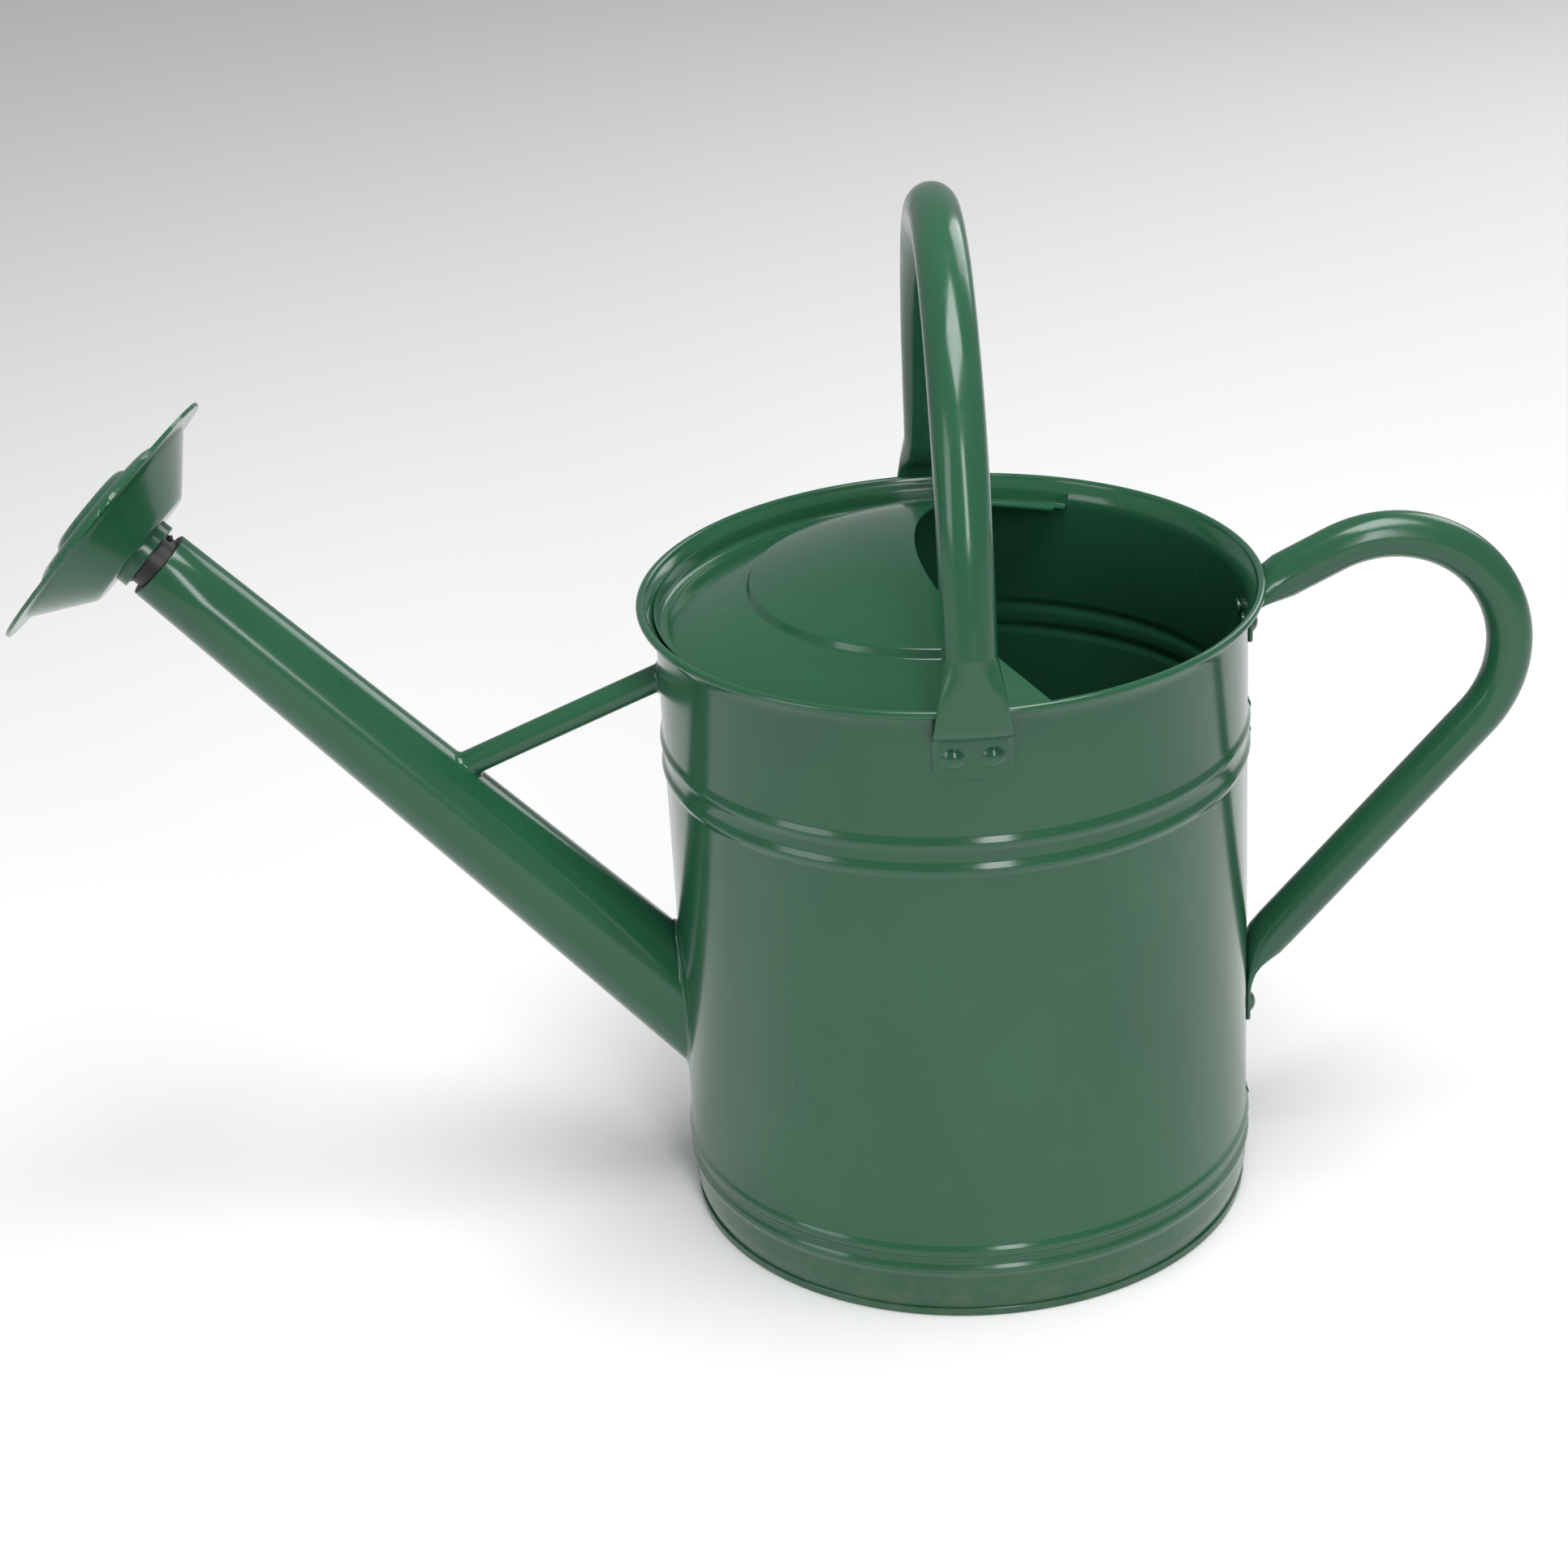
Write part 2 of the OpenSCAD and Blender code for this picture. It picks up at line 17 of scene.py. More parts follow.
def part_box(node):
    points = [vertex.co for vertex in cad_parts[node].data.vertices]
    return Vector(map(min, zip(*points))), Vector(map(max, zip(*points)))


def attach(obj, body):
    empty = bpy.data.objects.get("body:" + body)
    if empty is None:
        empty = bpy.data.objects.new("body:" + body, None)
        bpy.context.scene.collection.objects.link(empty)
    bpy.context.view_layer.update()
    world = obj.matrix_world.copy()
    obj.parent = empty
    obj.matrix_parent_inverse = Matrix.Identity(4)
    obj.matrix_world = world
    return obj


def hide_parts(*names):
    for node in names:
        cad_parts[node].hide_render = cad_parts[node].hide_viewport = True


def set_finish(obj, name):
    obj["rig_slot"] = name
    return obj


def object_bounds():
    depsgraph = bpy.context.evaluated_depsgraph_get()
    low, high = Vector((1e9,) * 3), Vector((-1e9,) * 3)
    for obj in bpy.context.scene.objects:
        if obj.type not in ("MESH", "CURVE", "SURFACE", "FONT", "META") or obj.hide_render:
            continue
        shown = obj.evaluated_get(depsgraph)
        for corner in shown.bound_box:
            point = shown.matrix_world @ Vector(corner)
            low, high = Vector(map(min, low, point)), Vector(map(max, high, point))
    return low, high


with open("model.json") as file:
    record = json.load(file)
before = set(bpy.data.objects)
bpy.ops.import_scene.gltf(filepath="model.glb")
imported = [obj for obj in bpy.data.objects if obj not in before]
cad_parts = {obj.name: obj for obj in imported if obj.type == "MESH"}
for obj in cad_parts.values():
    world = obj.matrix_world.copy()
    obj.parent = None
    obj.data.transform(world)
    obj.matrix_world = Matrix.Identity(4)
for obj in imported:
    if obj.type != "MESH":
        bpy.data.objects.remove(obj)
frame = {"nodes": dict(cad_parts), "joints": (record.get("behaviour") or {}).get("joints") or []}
cad_low, cad_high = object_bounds()
mm = 0.001
print("CAD box, mm:", [round(1000 * (b - a), 1) for a, b in zip(cad_low, cad_high)])

# %% [markdown]
# ## Sizes
# A can is laid out from a few numbers: the tank's radius, the rim's height and the lines of the
# spout and the handles. The rim wire, the base and the rose's joint are read from the frame, so
# that they can't drift from the CAD. The others are the same driving sizes as the CAD's.

# %% Driving sizes
TANK_R = 108.5 * mm
SHEET = 0.7 * mm
wire_low, wire_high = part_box("rim_wire")
WIRE_R = (wire_high.z - wire_low.z) / 2
RIM_R = wire_high.x - WIRE_R
RIM_Z = (wire_high.z + wire_low.z) / 2
CURL_R = WIRE_R + SHEET
BASE_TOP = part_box("base_pan")[1].z
FOOT_R = TANK_R - 1.5 * mm
BEAD_OUT = 1.2 * mm
BEAD_WIDE = 7 * mm
BEADS = (20.5 * mm, 28.5 * mm, RIM_Z - 61.5 * mm, RIM_Z - 51.5 * mm)
FLARE_TALL = CURL_R + 6.9 * mm
TURN_STEPS = 160
turn = next(j for j in frame["joints"] if j["name"] == "rose_turn")
LIP = Vector(turn["pos_m"])
ROSE_AXIS = Vector(turn["axis"])
SPOUT_FOOT = Vector((-TANK_R, 0, 84.5 * mm))
SPOUT_LINE = (LIP - SPOUT_FOOT).normalized()
SPOUT_LONG = (LIP - SPOUT_FOOT).length
SPOUT_ROOT_R = 19.5 * mm
SPOUT_LIP_R = 13.45 * mm
print("rim radius", round(RIM_R / mm, 2), "rim height", round(RIM_Z / mm, 2),
      "spout length", round(SPOUT_LONG / mm, 1))

# %% [markdown]
# ## Clean starts
# An operator acts on all that is selected, and a loaded model comes in selected. So each piece
# starts with everything let go. A finished piece keeps its place in its mesh, with its object at
# the origin, so that paint patterns and the moving joints agree on where it is.

# %% Let go, name, and finish a piece
def let_go():
    if bpy.context.mode != "OBJECT":
        bpy.ops.object.mode_set(mode="OBJECT")
    bpy.ops.object.select_all(action="DESELECT")


def take(piece):
    let_go()
    bpy.context.view_layer.objects.active = piece
    piece.select_set(True)
    return piece


def named(name):
    piece = bpy.context.object
    piece.name = name
    piece.data.name = name
    return piece


def finish_piece(piece, body, slot, nodes=(), crease=35):
    """Places are put in the mesh, edges sharper than crease stay sharp, and the piece rides."""
    take(piece)
    bpy.ops.object.transform_apply(location=True, rotation=True, scale=True)
    bpy.ops.object.shade_smooth_by_angle(angle=math.radians(crease))
    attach(piece, body)
    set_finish(piece, slot)
    if nodes:
        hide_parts(*nodes)
    size = [round(d / mm, 1) for d in piece.dimensions]
    print(piece.name, "size mm", size, "faces", len(piece.data.polygons))
    return piece

# %% [markdown]
# ## Turned sheet
# Most of the can is round: wall, base, cover, rose. A lathe-like way suits it. A plane is merged
# to one corner, the corner is extruded along half the outline, and the line is spun round the
# axis. The sheet then gets its thickness from a Solidify modifier, which needs the faces to point
# one known way, so a helper asks one face which way it looks and flips all if it is wrong.

# %% Draw a line, spin it, thicken it
def draw_line(name, points):
    let_go()
    bpy.ops.mesh.primitive_plane_add(size=0.01, location=(0, 0, 0))
    piece = named(name)
    bpy.ops.object.mode_set(mode="EDIT")
    bpy.ops.mesh.select_mode(type="VERT")
    bpy.ops.mesh.select_all(action="SELECT")
    bpy.ops.mesh.merge(type="CENTER")
    bpy.ops.transform.translate(value=points[0])
    for start, end in zip(points, points[1:]):
        step = Vector(end) - Vector(start)
        bpy.ops.mesh.extrude_vertices_move(TRANSFORM_OT_translate={"value": step})
    return piece


def spin_line(piece, steps=TURN_STEPS, angle=2 * math.pi):
    bpy.ops.mesh.select_all(action="SELECT")
    bpy.ops.mesh.spin(steps=steps, angle=angle, center=(0, 0, 0), axis=(0, 0, 1))
    bpy.ops.mesh.select_all(action="SELECT")
    bpy.ops.mesh.remove_doubles(threshold=0.001 * mm)
    bpy.ops.mesh.normals_make_consistent(inside=False)
    bpy.ops.object.mode_set(mode="OBJECT")
    return piece


def look_towards(piece, place, direction):
    """Flips the faces if the one nearest to place looks away from direction."""
    nearest = min(piece.data.polygons, key=lambda p: (p.center - Vector(place)).length)
    if nearest.normal.dot(Vector(direction)) < 0:
        take(piece)
        bpy.ops.object.mode_set(mode="EDIT")
        bpy.ops.mesh.select_all(action="SELECT")
        bpy.ops.mesh.flip_normals()
        bpy.ops.object.mode_set(mode="OBJECT")


def apply_modifier(piece, kind, **settings):
    take(piece)
    bpy.ops.object.modifier_add(type=kind)
    modifier = piece.modifiers[-1]
    for key, value in settings.items():
        setattr(modifier, key, value)
    bpy.ops.object.modifier_apply(modifier=modifier.name)


def thicken(piece, wall=SHEET):
    apply_modifier(piece, "SOLIDIFY", thickness=wall, offset=-1, use_even_offset=True)


def radial(radius, height):
    return (radius, 0, height)


def arc(centre, radius, start, end, steps):
    """Points [radius, height] on an arc, in degrees from the +radius direction."""
    angles = [math.radians(start + (end - start) * k / steps) for k in range(steps + 1)]
    return [radial(centre[0] + radius * math.cos(a), centre[1] + radius * math.sin(a))
            for a in angles]

# %% [markdown]
# ## Tank wall
# The wall is one sheet: drawn in at the foot, stiffened by four rolled beads, flared at the top
# and curled over a wire. The outline follows the sheet's outer face up, then round the wire, so
# one spin makes it all and the thickness grows inwards and over the curl. Bead sections are a
# raised cosine, which is what a pair of bead rollers leaves.

# %% Tank wall
def wall_outline(out=0.0):
    """The wall's outer face from foot to flare, moved out by a distance."""
    points = [radial(FOOT_R + out, 0.8 * mm), radial(FOOT_R + out, 3.4 * mm),
              radial(FOOT_R + 0.2 * mm + out, 4.6 * mm), radial(TANK_R - 0.3 * mm + out, 8.5 * mm),
              radial(TANK_R + out, 10 * mm)]
    steps = 12
    for bead in BEADS:
        for k in range(steps + 1):
            d = BEAD_WIDE * (k / steps - 0.5)
            swell = BEAD_OUT * math.cos(math.pi * d / BEAD_WIDE) ** 2
            points.append(radial(TANK_R + swell + out, bead + d))
    flare = RIM_R - WIRE_R - TANK_R
    for k in range(9):
        s = k / 9
        points.append(radial(TANK_R + flare * s * s + out, RIM_Z - FLARE_TALL * (1 - s)))
    return points


wall = draw_line("tank_wall_sheet",
                 wall_outline() + arc((RIM_R, RIM_Z), WIRE_R, 180, -75, 16))
spin_line(wall)
look_towards(wall, (TANK_R, 0, 0.12), (1, 0, 0))
thicken(wall)
finish_piece(wall, "can", "tank_paint", ["tank_wall"])

# %% [markdown]
# ## Lock seam
# A rolled tank is closed by a folded seam down its back, behind the pouring handle. Seen close
# it is a flat strip a fraction of a millimetre proud that rides over the beads. Spinning the
# same outline through a small angle gives a strip that follows every bead exactly.

# %% Lock seam
SEAM_WIDE = math.radians(3.2)
seam = draw_line("wall_lock_seam", wall_outline(out=0.45 * mm)[4:])
spin_line(seam, steps=4, angle=SEAM_WIDE)
look_towards(seam, (TANK_R, 0, 0.12), (1, 0, 0))
seam.rotation_euler.z = math.radians(0.9) - SEAM_WIDE / 2
thicken(seam, 0.9 * mm)
apply_modifier(seam, "BEVEL", width=0.15 * mm, segments=2, limit_method="ANGLE")
finish_piece(seam, "can", "tank_paint")

# %% [markdown]
# ## Base
# The base is a pan pushed up inside the wall, its skirt folded round the wall's lower edge so
# that the can stands on the fold. The folded ring is drawn as a closed outline with round
# corners. One pressed ring stiffens the flat.

# %% Base pan
skirt_r = FOOT_R - SHEET
pan_top = BASE_TOP - SHEET
bottom_bend = arc((FOOT_R - 0.3 * mm, 0.75 * mm), 0.75 * mm, 180, 270, 4)
outer_bend = arc((FOOT_R, 0.72 * mm), 0.72 * mm, 270, 360, 6)
base = draw_line("base_pan_pressing", [
    radial(0, pan_top), radial(72 * mm, pan_top), radial(73.5 * mm, pan_top + 0.5 * mm),
    radial(77 * mm, pan_top + 0.5 * mm), radial(78.5 * mm, pan_top),
    radial(skirt_r - 3 * mm, pan_top), radial(skirt_r - 1.4 * mm, pan_top - 0.5 * mm),
    radial(skirt_r - 0.8 * mm, pan_top - 1.6 * mm), radial(skirt_r - SHEET, 1.2 * mm)]
    + bottom_bend[2:] + outer_bend + [radial(FOOT_R + 0.72 * mm, 3 * mm),
                                      radial(FOOT_R + 0.55 * mm, 3.2 * mm),
                                      radial(FOOT_R + 0.02 * mm, 3.2 * mm)])
spin_line(base)
look_towards(base, (0.03, 0, pan_top), (0, 0, -1))
thicken(base, 0.65 * mm)
finish_piece(base, "can", "base_paint", ["base_pan"])

# %% [markdown]
# ## Splash cover
# The cover is a pressed disc with a gutter, a sloping band and a shallow dome behind a small
# step, cut away at the back to leave the mouth. Pressing first and cutting after is how it is
# made, so the model does the same: spin the whole disc, then take a cutter out of it with a
# Boolean. The cutter is the mouth seen from above: an arc that runs out into straight cuts.

# %% Splash cover disc
EDGE_Z = RIM_Z + 3 * mm
DOME_R = 75.5 * mm
STEP_TALL = 3.7 * mm
TOP_Z = RIM_Z + 20.5 * mm
step_r = DOME_R - STEP_TALL * 0.9
rise = TOP_Z - EDGE_Z - STEP_TALL
cap_r = (step_r ** 2 + rise ** 2) / (2 * rise)
cap_edge = math.asin(step_r / cap_r)
gutter_z = RIM_Z - 8.5 * mm
wall_in = TANK_R - SHEET
cover_line = [radial(cap_r * math.sin(cap_edge * k / 24),
                     TOP_Z - cap_r * (1 - math.cos(cap_edge * k / 24))) for k in range(24)]
cover_line += [radial(step_r, EDGE_Z + STEP_TALL), radial(step_r + 0.5 * mm, EDGE_Z + STEP_TALL - 0.25 * mm),
               radial(step_r + 0.9 * mm, EDGE_Z + STEP_TALL - 0.75 * mm),
               radial(DOME_R - 1.5 * mm, EDGE_Z + 0.95 * mm), radial(DOME_R - 1.1 * mm, EDGE_Z + 0.45 * mm),
               radial(DOME_R - 0.5 * mm, EDGE_Z + 0.15 * mm), radial(DOME_R + 0.2 * mm, EDGE_Z)]
cover_line += [radial(DOME_R + (wall_in - 6.4 * mm - DOME_R) * k / 6,
                      EDGE_Z + (gutter_z + 1.1 * mm - EDGE_Z) * k / 6) for k in range(1, 7)]
cover_line += arc((wall_in - 3.3 * mm, gutter_z + 2.7 * mm), 2.7 * mm, 228, 352, 8)
cover_line += [radial(wall_in - SHEET + 0.3 * mm, RIM_Z - 4 * mm),
               radial(wall_in - SHEET + 0.8 * mm, RIM_Z - 2.5 * mm)]
cover = draw_line("splash_cover_pressing", cover_line)
spin_line(cover)
look_towards(cover, (0.02, 0, TOP_Z), (0, 0, 1))
thicken(cover)

# %% [markdown]
# ## The mouth
# Two cutters shape the opening. The first takes out the mouth, as far as the gutter's outer side.
# The second takes off the flange between the two tails. Then the cover is turned a little.

# %% Cut the mouth
MOUTH_R = 107.5 * mm
MOUTH_MID = MOUTH_R - 12 * mm
TAIL = math.radians(65)
WIDE = 200 * mm
CUT_LOW, CUT_HIGH = RIM_Z - 30 * mm, RIM_Z + 50 * mm
GUTTER_IN = TANK_R - 2.5 * mm


def cutter_from(outline, low, high):
    cutter = draw_line("cutter", [(x, y, low) for x, y in outline])
    bpy.ops.mesh.select_all(action="SELECT")
    bpy.ops.mesh.edge_face_add()
    bpy.ops.mesh.extrude_region_move(TRANSFORM_OT_translate={"value": (0, 0, high - low)})
    bpy.ops.mesh.select_all(action="SELECT")
    bpy.ops.mesh.normals_make_consistent(inside=False)
    bpy.ops.object.mode_set(mode="OBJECT")
    return cutter


def cut_away(piece, cutter, operation="DIFFERENCE"):
    apply_modifier(piece, "BOOLEAN", object=cutter, operation=operation, solver="EXACT")
    bpy.data.objects.remove(cutter)


def mouth_edge():
    """From the lower straight cut, round the arc, to the upper straight cut."""
    knee = MOUTH_R * math.cos(math.radians(45))
    reach = 70 * mm
    arc_points = [(MOUTH_MID + MOUTH_R * math.cos(math.radians(180 + a)),
                   MOUTH_R * math.sin(math.radians(180 + a))) for a in range(45, -46, -3)]
    return ([(MOUTH_MID - knee + reach, -knee - reach)] + arc_points
            + [(MOUTH_MID - knee + reach, knee + reach)])


def gutter_cut():
    """Where the straight cut crosses the gutter's inner edge, as an angle."""
    knee = MOUTH_R * math.cos(math.radians(45))
    x0, y0 = MOUTH_MID - knee, knee
    b = x0 + y0
    t = (-b + math.sqrt(b * b - 2 * (x0 * x0 + y0 * y0 - GUTTER_IN ** 2))) / 2
    return math.atan2(y0 + t, x0 + t)


edge = gutter_cut()
arc_only = mouth_edge()[1:-1]
gutter_arc = [(GUTTER_IN * math.cos(edge * k / 20), GUTTER_IN * math.sin(edge * k / 20))
              for k in range(20, -21, -1)]
mouth = cutter_from(arc_only + gutter_arc, CUT_LOW, CUT_HIGH)
tail_round = [(WIDE, -WIDE * math.tan(TAIL)), (20 * mm, -20 * mm * math.tan(TAIL)),
              (20 * mm, 20 * mm * math.tan(TAIL)), (WIDE, WIDE * math.tan(TAIL))]
tails = cutter_from(tail_round, CUT_LOW, CUT_HIGH)
cut_away(cover, mouth)
cut_away(cover, tails)
cover.rotation_euler.z = math.radians(-4)
finish_piece(cover, "can", "cover_paint", ["splash_cover"])

# %% [markdown]
# ## Tubes that end flat
# Both handles are round tube whose ends are pressed flat, bent onto the wall and riveted. The way
# to model that by hand is to start with a ring, extrude it along the tube, and squash the new ring
# a little more each time. Each corner remembers its angle round the tube, in an attribute that
# extrusion copies, so a ring can go from round to flat with rounded edges, and hug the wall.

# %% Ring helpers
RING = 48


def start_ring(name):
    let_go()
    bpy.ops.mesh.primitive_circle_add(vertices=RING, radius=10 * mm, location=(0, 0, 0))
    piece = named(name)
    bpy.ops.object.mode_set(mode="EDIT")
    bpy.ops.mesh.select_all(action="SELECT")
    mesh = bmesh.from_edit_mesh(piece.data)
    around = mesh.verts.layers.float.new("around")
    for corner in mesh.verts:
        corner[around] = math.atan2(corner.co.y, corner.co.x)
    bmesh.update_edit_mesh(piece.data)
    return piece


def shape_ring(place, along, side, wide, thick, square=0.0, hug=0.0):
    """Moves the selected ring to a place. square 0 is an ellipse, 1 a strip with round edges.
    hug 1 curves the ring round the tank's axis."""
    data = bpy.context.object.data
    mesh = bmesh.from_edit_mesh(data)
    around = mesh.verts.layers.float["around"]
    up = Vector(along).cross(side).normalized()
    power = 1 - 0.62 * square
    out = Vector((place.x, place.y, 0))
    radius = out.length
    out.normalize()
    for corner in (v for v in mesh.verts if v.select):
        c, s = math.cos(corner[around]), math.sin(corner[around])
        x = math.copysign(abs(c) ** power, c) * wide / 2
        y = math.copysign(abs(s) ** power, s) * thick / 2
        sag = radius - math.sqrt(radius ** 2 - x ** 2)
        corner.co = place + side * x + up * y - out * sag * hug
    bmesh.update_edit_mesh(data)


def push_ring(*station, **shape):
    bpy.ops.mesh.extrude_region_move(TRANSFORM_OT_translate={"value": (0, 0, mm)})
    shape_ring(*station, **shape)


def rounded_end(z_end, wide, corner):
    """Heights and widths that round a tab's lower corners."""
    angles = [math.radians(a) for a in (90, 72, 54, 36, 18, 0)]
    return [(z_end + corner * (1 - math.sin(a)), wide - 2 * corner * (1 - math.cos(a)))
            for a in angles]


def run_of(stations, side, out):
    """Extrudes through stations of (out, height, wide, thick, square, hug)."""
    centres = [out * s[0] + Vector((0, 0, s[1])) for s in stations]
    for k, (distance, height, wide, thick, square, hug) in enumerate(stations):
        ahead = centres[min(k + 1, len(centres) - 1)]
        behind = centres[max(k - 1, 0)]
        along = (ahead - behind).normalized()
        put = shape_ring if k == 0 else push_ring
        put(centres[k], along, side, wide, thick, square=square, hug=hug)
    return centres[-1]

# %% [markdown]
# ## Carrying handle
# One tube arches from rim to rim. Each end is pressed to a strip, passes outside the rim, steps
# in to the wall and ends as a tab with round corners. Half of it is extruded from the tab up to
# the arch, spun to the top, and mirrored, which keeps both ends the same.

# %% Carrying handle
GRIP_R = 9.45 * mm
ARCH_TOP = cad_high.z - GRIP_R
ARCH_R = 106.1 * mm
LEAN = math.radians(9)
RIVET_Z = RIM_Z - 18 * mm
TAB_END = 7.5 * mm
TAB_THICK = 2 * mm
arch_mid = ARCH_TOP - ARCH_R
leg_y, leg_z = ARCH_R * math.cos(LEAN), arch_mid + ARCH_R * math.sin(LEAN)
tab_mid = TANK_R + TAB_THICK / 2 + 0.03 * mm
strap_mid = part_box("top_handle")[1].y - 2.05 * mm


def leg_at(height):
    return leg_y + (leg_z - height) * math.tan(LEAN)


def top_handle_stations():
    """From the tab's lower end up to the foot of the arch."""
    tab_wide, strap_thick, swell_tall = 28 * mm, 3.7 * mm, 18 * mm
    flare_low, flare_high = RIVET_Z + 9.5 * mm, RIM_Z + 19 * mm

    def wide_at(height):
        part = min(max((flare_high - height) / (flare_high - flare_low), 0), 1)
        return 2 * GRIP_R + (tab_wide - 2 * GRIP_R) * part

    tab = [(tab_mid, z, w, TAB_THICK, 1, 1)
           for z, w in rounded_end(RIVET_Z - TAB_END, tab_wide, 4 * mm)]
    bend = [(tab_mid, RIVET_Z + 6.6 * mm, tab_wide, TAB_THICK, 1, 1),
            (tab_mid + 0.5 * mm, RIVET_Z + 7.6 * mm, tab_wide, 2.3 * mm, 1, 0.9)]
    bend += [(strap_mid - inset * mm, RIVET_Z + up * mm, wide_at(RIVET_Z + up * mm), thick * mm,
              square, hug)
             for inset, up, thick, square, hug in ((2.4, 10, 2.8, 1, 0.7), (0.5, 12.2, 3.1, 0.95, 0.5),
                                                   (0.1, 15, 3.3, 0.9, 0.35), (0.1, 19.5, 3.7, 0.8, 0.2))]
    swell = []
    foot = RIM_Z + 1.5 * mm
    for t in (0.14, 0.3, 0.46, 0.62, 0.78, 0.92, 1.0):
        height = foot + t * swell_tall
        ease = t * t * (3 - 2 * t)
        swell.append((strap_mid + (leg_at(height) - strap_mid) * ease, height, wide_at(height),
                      strap_thick + (2 * GRIP_R - strap_thick) * ease, 0.8 * (1 - ease) ** 1.5,
                      0.2 * (1 - ease)))
    legs = [(leg_at(RIM_Z + 30 * mm), RIM_Z + 30 * mm, 2 * GRIP_R, 2 * GRIP_R, 0, 0),
            (leg_y, leg_z, 2 * GRIP_R, 2 * GRIP_R, 0, 0)]
    return tab + bend + swell + legs


handle = start_ring("carrying_handle_tube")
side_x, out_y = Vector((1, 0, 0)), Vector((0, 1, 0))
run_of(top_handle_stations(), side_x, out_y)
last_along = Vector((0, -math.sin(LEAN), math.cos(LEAN)))
shape_ring(Vector((0, leg_y, leg_z)), last_along, side_x, 2 * GRIP_R, 2 * GRIP_R)
bpy.ops.mesh.spin(steps=36, angle=LEAN - math.pi / 2, center=(0, 0, arch_mid), axis=(1, 0, 0))
bpy.ops.object.mode_set(mode="OBJECT")
print("handle half reaches y", [round(min(v.co.y for v in handle.data.vertices) / mm, 2),
                                round(max(v.co.y for v in handle.data.vertices) / mm, 2)])
apply_modifier(handle, "MIRROR", use_axis=(False, True, False), use_clip=True,
               merge_threshold=0.05 * mm)


def close_tube_ends(piece):
    take(piece)
    bpy.ops.object.mode_set(mode="EDIT")
    bpy.ops.mesh.select_mode(type="EDGE")
    bpy.ops.mesh.select_all(action="DESELECT")
    bpy.ops.mesh.select_non_manifold(extend=False, use_wire=False, use_multi_face=False,
                                     use_non_contiguous=False, use_verts=False)
    bpy.ops.mesh.edge_face_add()
    bpy.ops.mesh.select_all(action="SELECT")
    bpy.ops.mesh.normals_make_consistent(inside=False)
    bpy.ops.object.mode_set(mode="OBJECT")


close_tube_ends(handle)
finish_piece(handle, "can", "top_handle_paint", ["top_handle"], crease=50)

# %% [markdown]
# ## Pouring handle
# The smaller tube runs under the rim, turns through a wide bend and comes straight down to the
# lower wall. It is extruded from the lower tab up to the bend, spun round it, and pushed on to
# the upper tab, which tucks in below the rim.

# %% Pouring handle
POUR_R = 8.5 * mm
BEND_R = 45.5 * mm
BEND_MID = Vector((TANK_R + 52.7 * mm, 0, RIM_Z - 35.3 * mm))
RUN_SLOPE = math.radians(48.45)
TOP_SLOPE = math.radians(26.4)
LOW_RIVET_Z = 69 * mm
POUR_TAB = 25 * mm
low_bend_angle = RUN_SLOPE - math.pi / 2
top_bend_angle = math.pi / 2 + TOP_SLOPE


def on_bend(angle):
    return BEND_MID + BEND_R * Vector((math.cos(angle), 0, math.sin(angle)))


def on_run(distance_out):
    """Height of the long run where it is a distance from the tank's axis."""
    start = on_bend(low_bend_angle)
    return start.z - (start.x - distance_out) * math.tan(RUN_SLOPE)


def on_top_run(distance_out):
    start = on_bend(top_bend_angle)
    return start.z - (start.x - distance_out) * math.tan(TOP_SLOPE)


def lower_stations():
    """From the lower tab's end up the long run. Only the last few millimetres are squashed."""
    tab = [(tab_mid, z, w, TAB_THICK, 1, 1)
           for z, w in rounded_end(LOW_RIVET_Z - TAB_END, POUR_TAB, 5 * mm)]
    bend = [(TANK_R + out * mm, LOW_RIVET_Z + up * mm, wide * mm, thick * mm, square, hug)
            for out, up, wide, thick, square, hug in (
                (1.03, 6.5, 25, 2, 1, 1), (1.25, 9, 25, 2.3, 1, 1), (1.7, 11.9, 24.6, 3, 0.95, 0.9),
                (2.4, 14.6, 23.6, 4.4, 0.85, 0.8), (3.5, 17.3, 22, 7.5, 0.6, 0.5),
                (5.3, 20.1, 20, 12, 0.3, 0.2), (8.5, 23.7, 18, 16, 0.1, 0))]
    run = [(d, on_run(d), 2 * POUR_R, 2 * POUR_R, 0, 0)
           for d in (TANK_R + 13 * mm, TANK_R + 30 * mm, TANK_R + 55 * mm, on_bend(low_bend_angle).x)]
    return tab + bend + run


def upper_stations():
    """From the bend down the short run and on to the upper tab."""
    start = on_bend(top_bend_angle).x
    run = [(d, on_top_run(d), 2 * POUR_R, 2 * POUR_R, 0, 0)
           for d in (start - 5 * mm, start - 12 * mm, TANK_R + 14 * mm)]
    bend = [(TANK_R + out * mm, RIVET_Z + up * mm, wide * mm, thick * mm, square, hug)
            for out, up, wide, thick, square, hug in (
                (10.1, 12.2, 18.5, 14.4, 0.1, 0), (7.1, 10.4, 20.5, 11, 0.3, 0.2),
                (4.8, 8.9, 22.4, 7.2, 0.6, 0.5), (2.9, 7.3, 24, 4.6, 0.85, 0.8),
                (1.7, 5.7, 24.8, 3, 0.95, 0.9), (1.1, 4.3, 25, 2.1, 1, 1))]
    tab = [(tab_mid, z, w, TAB_THICK, 1, 1)
           for z, w in reversed(rounded_end(RIVET_Z - TAB_END, POUR_TAB, 4 * mm))]
    return run + bend + tab


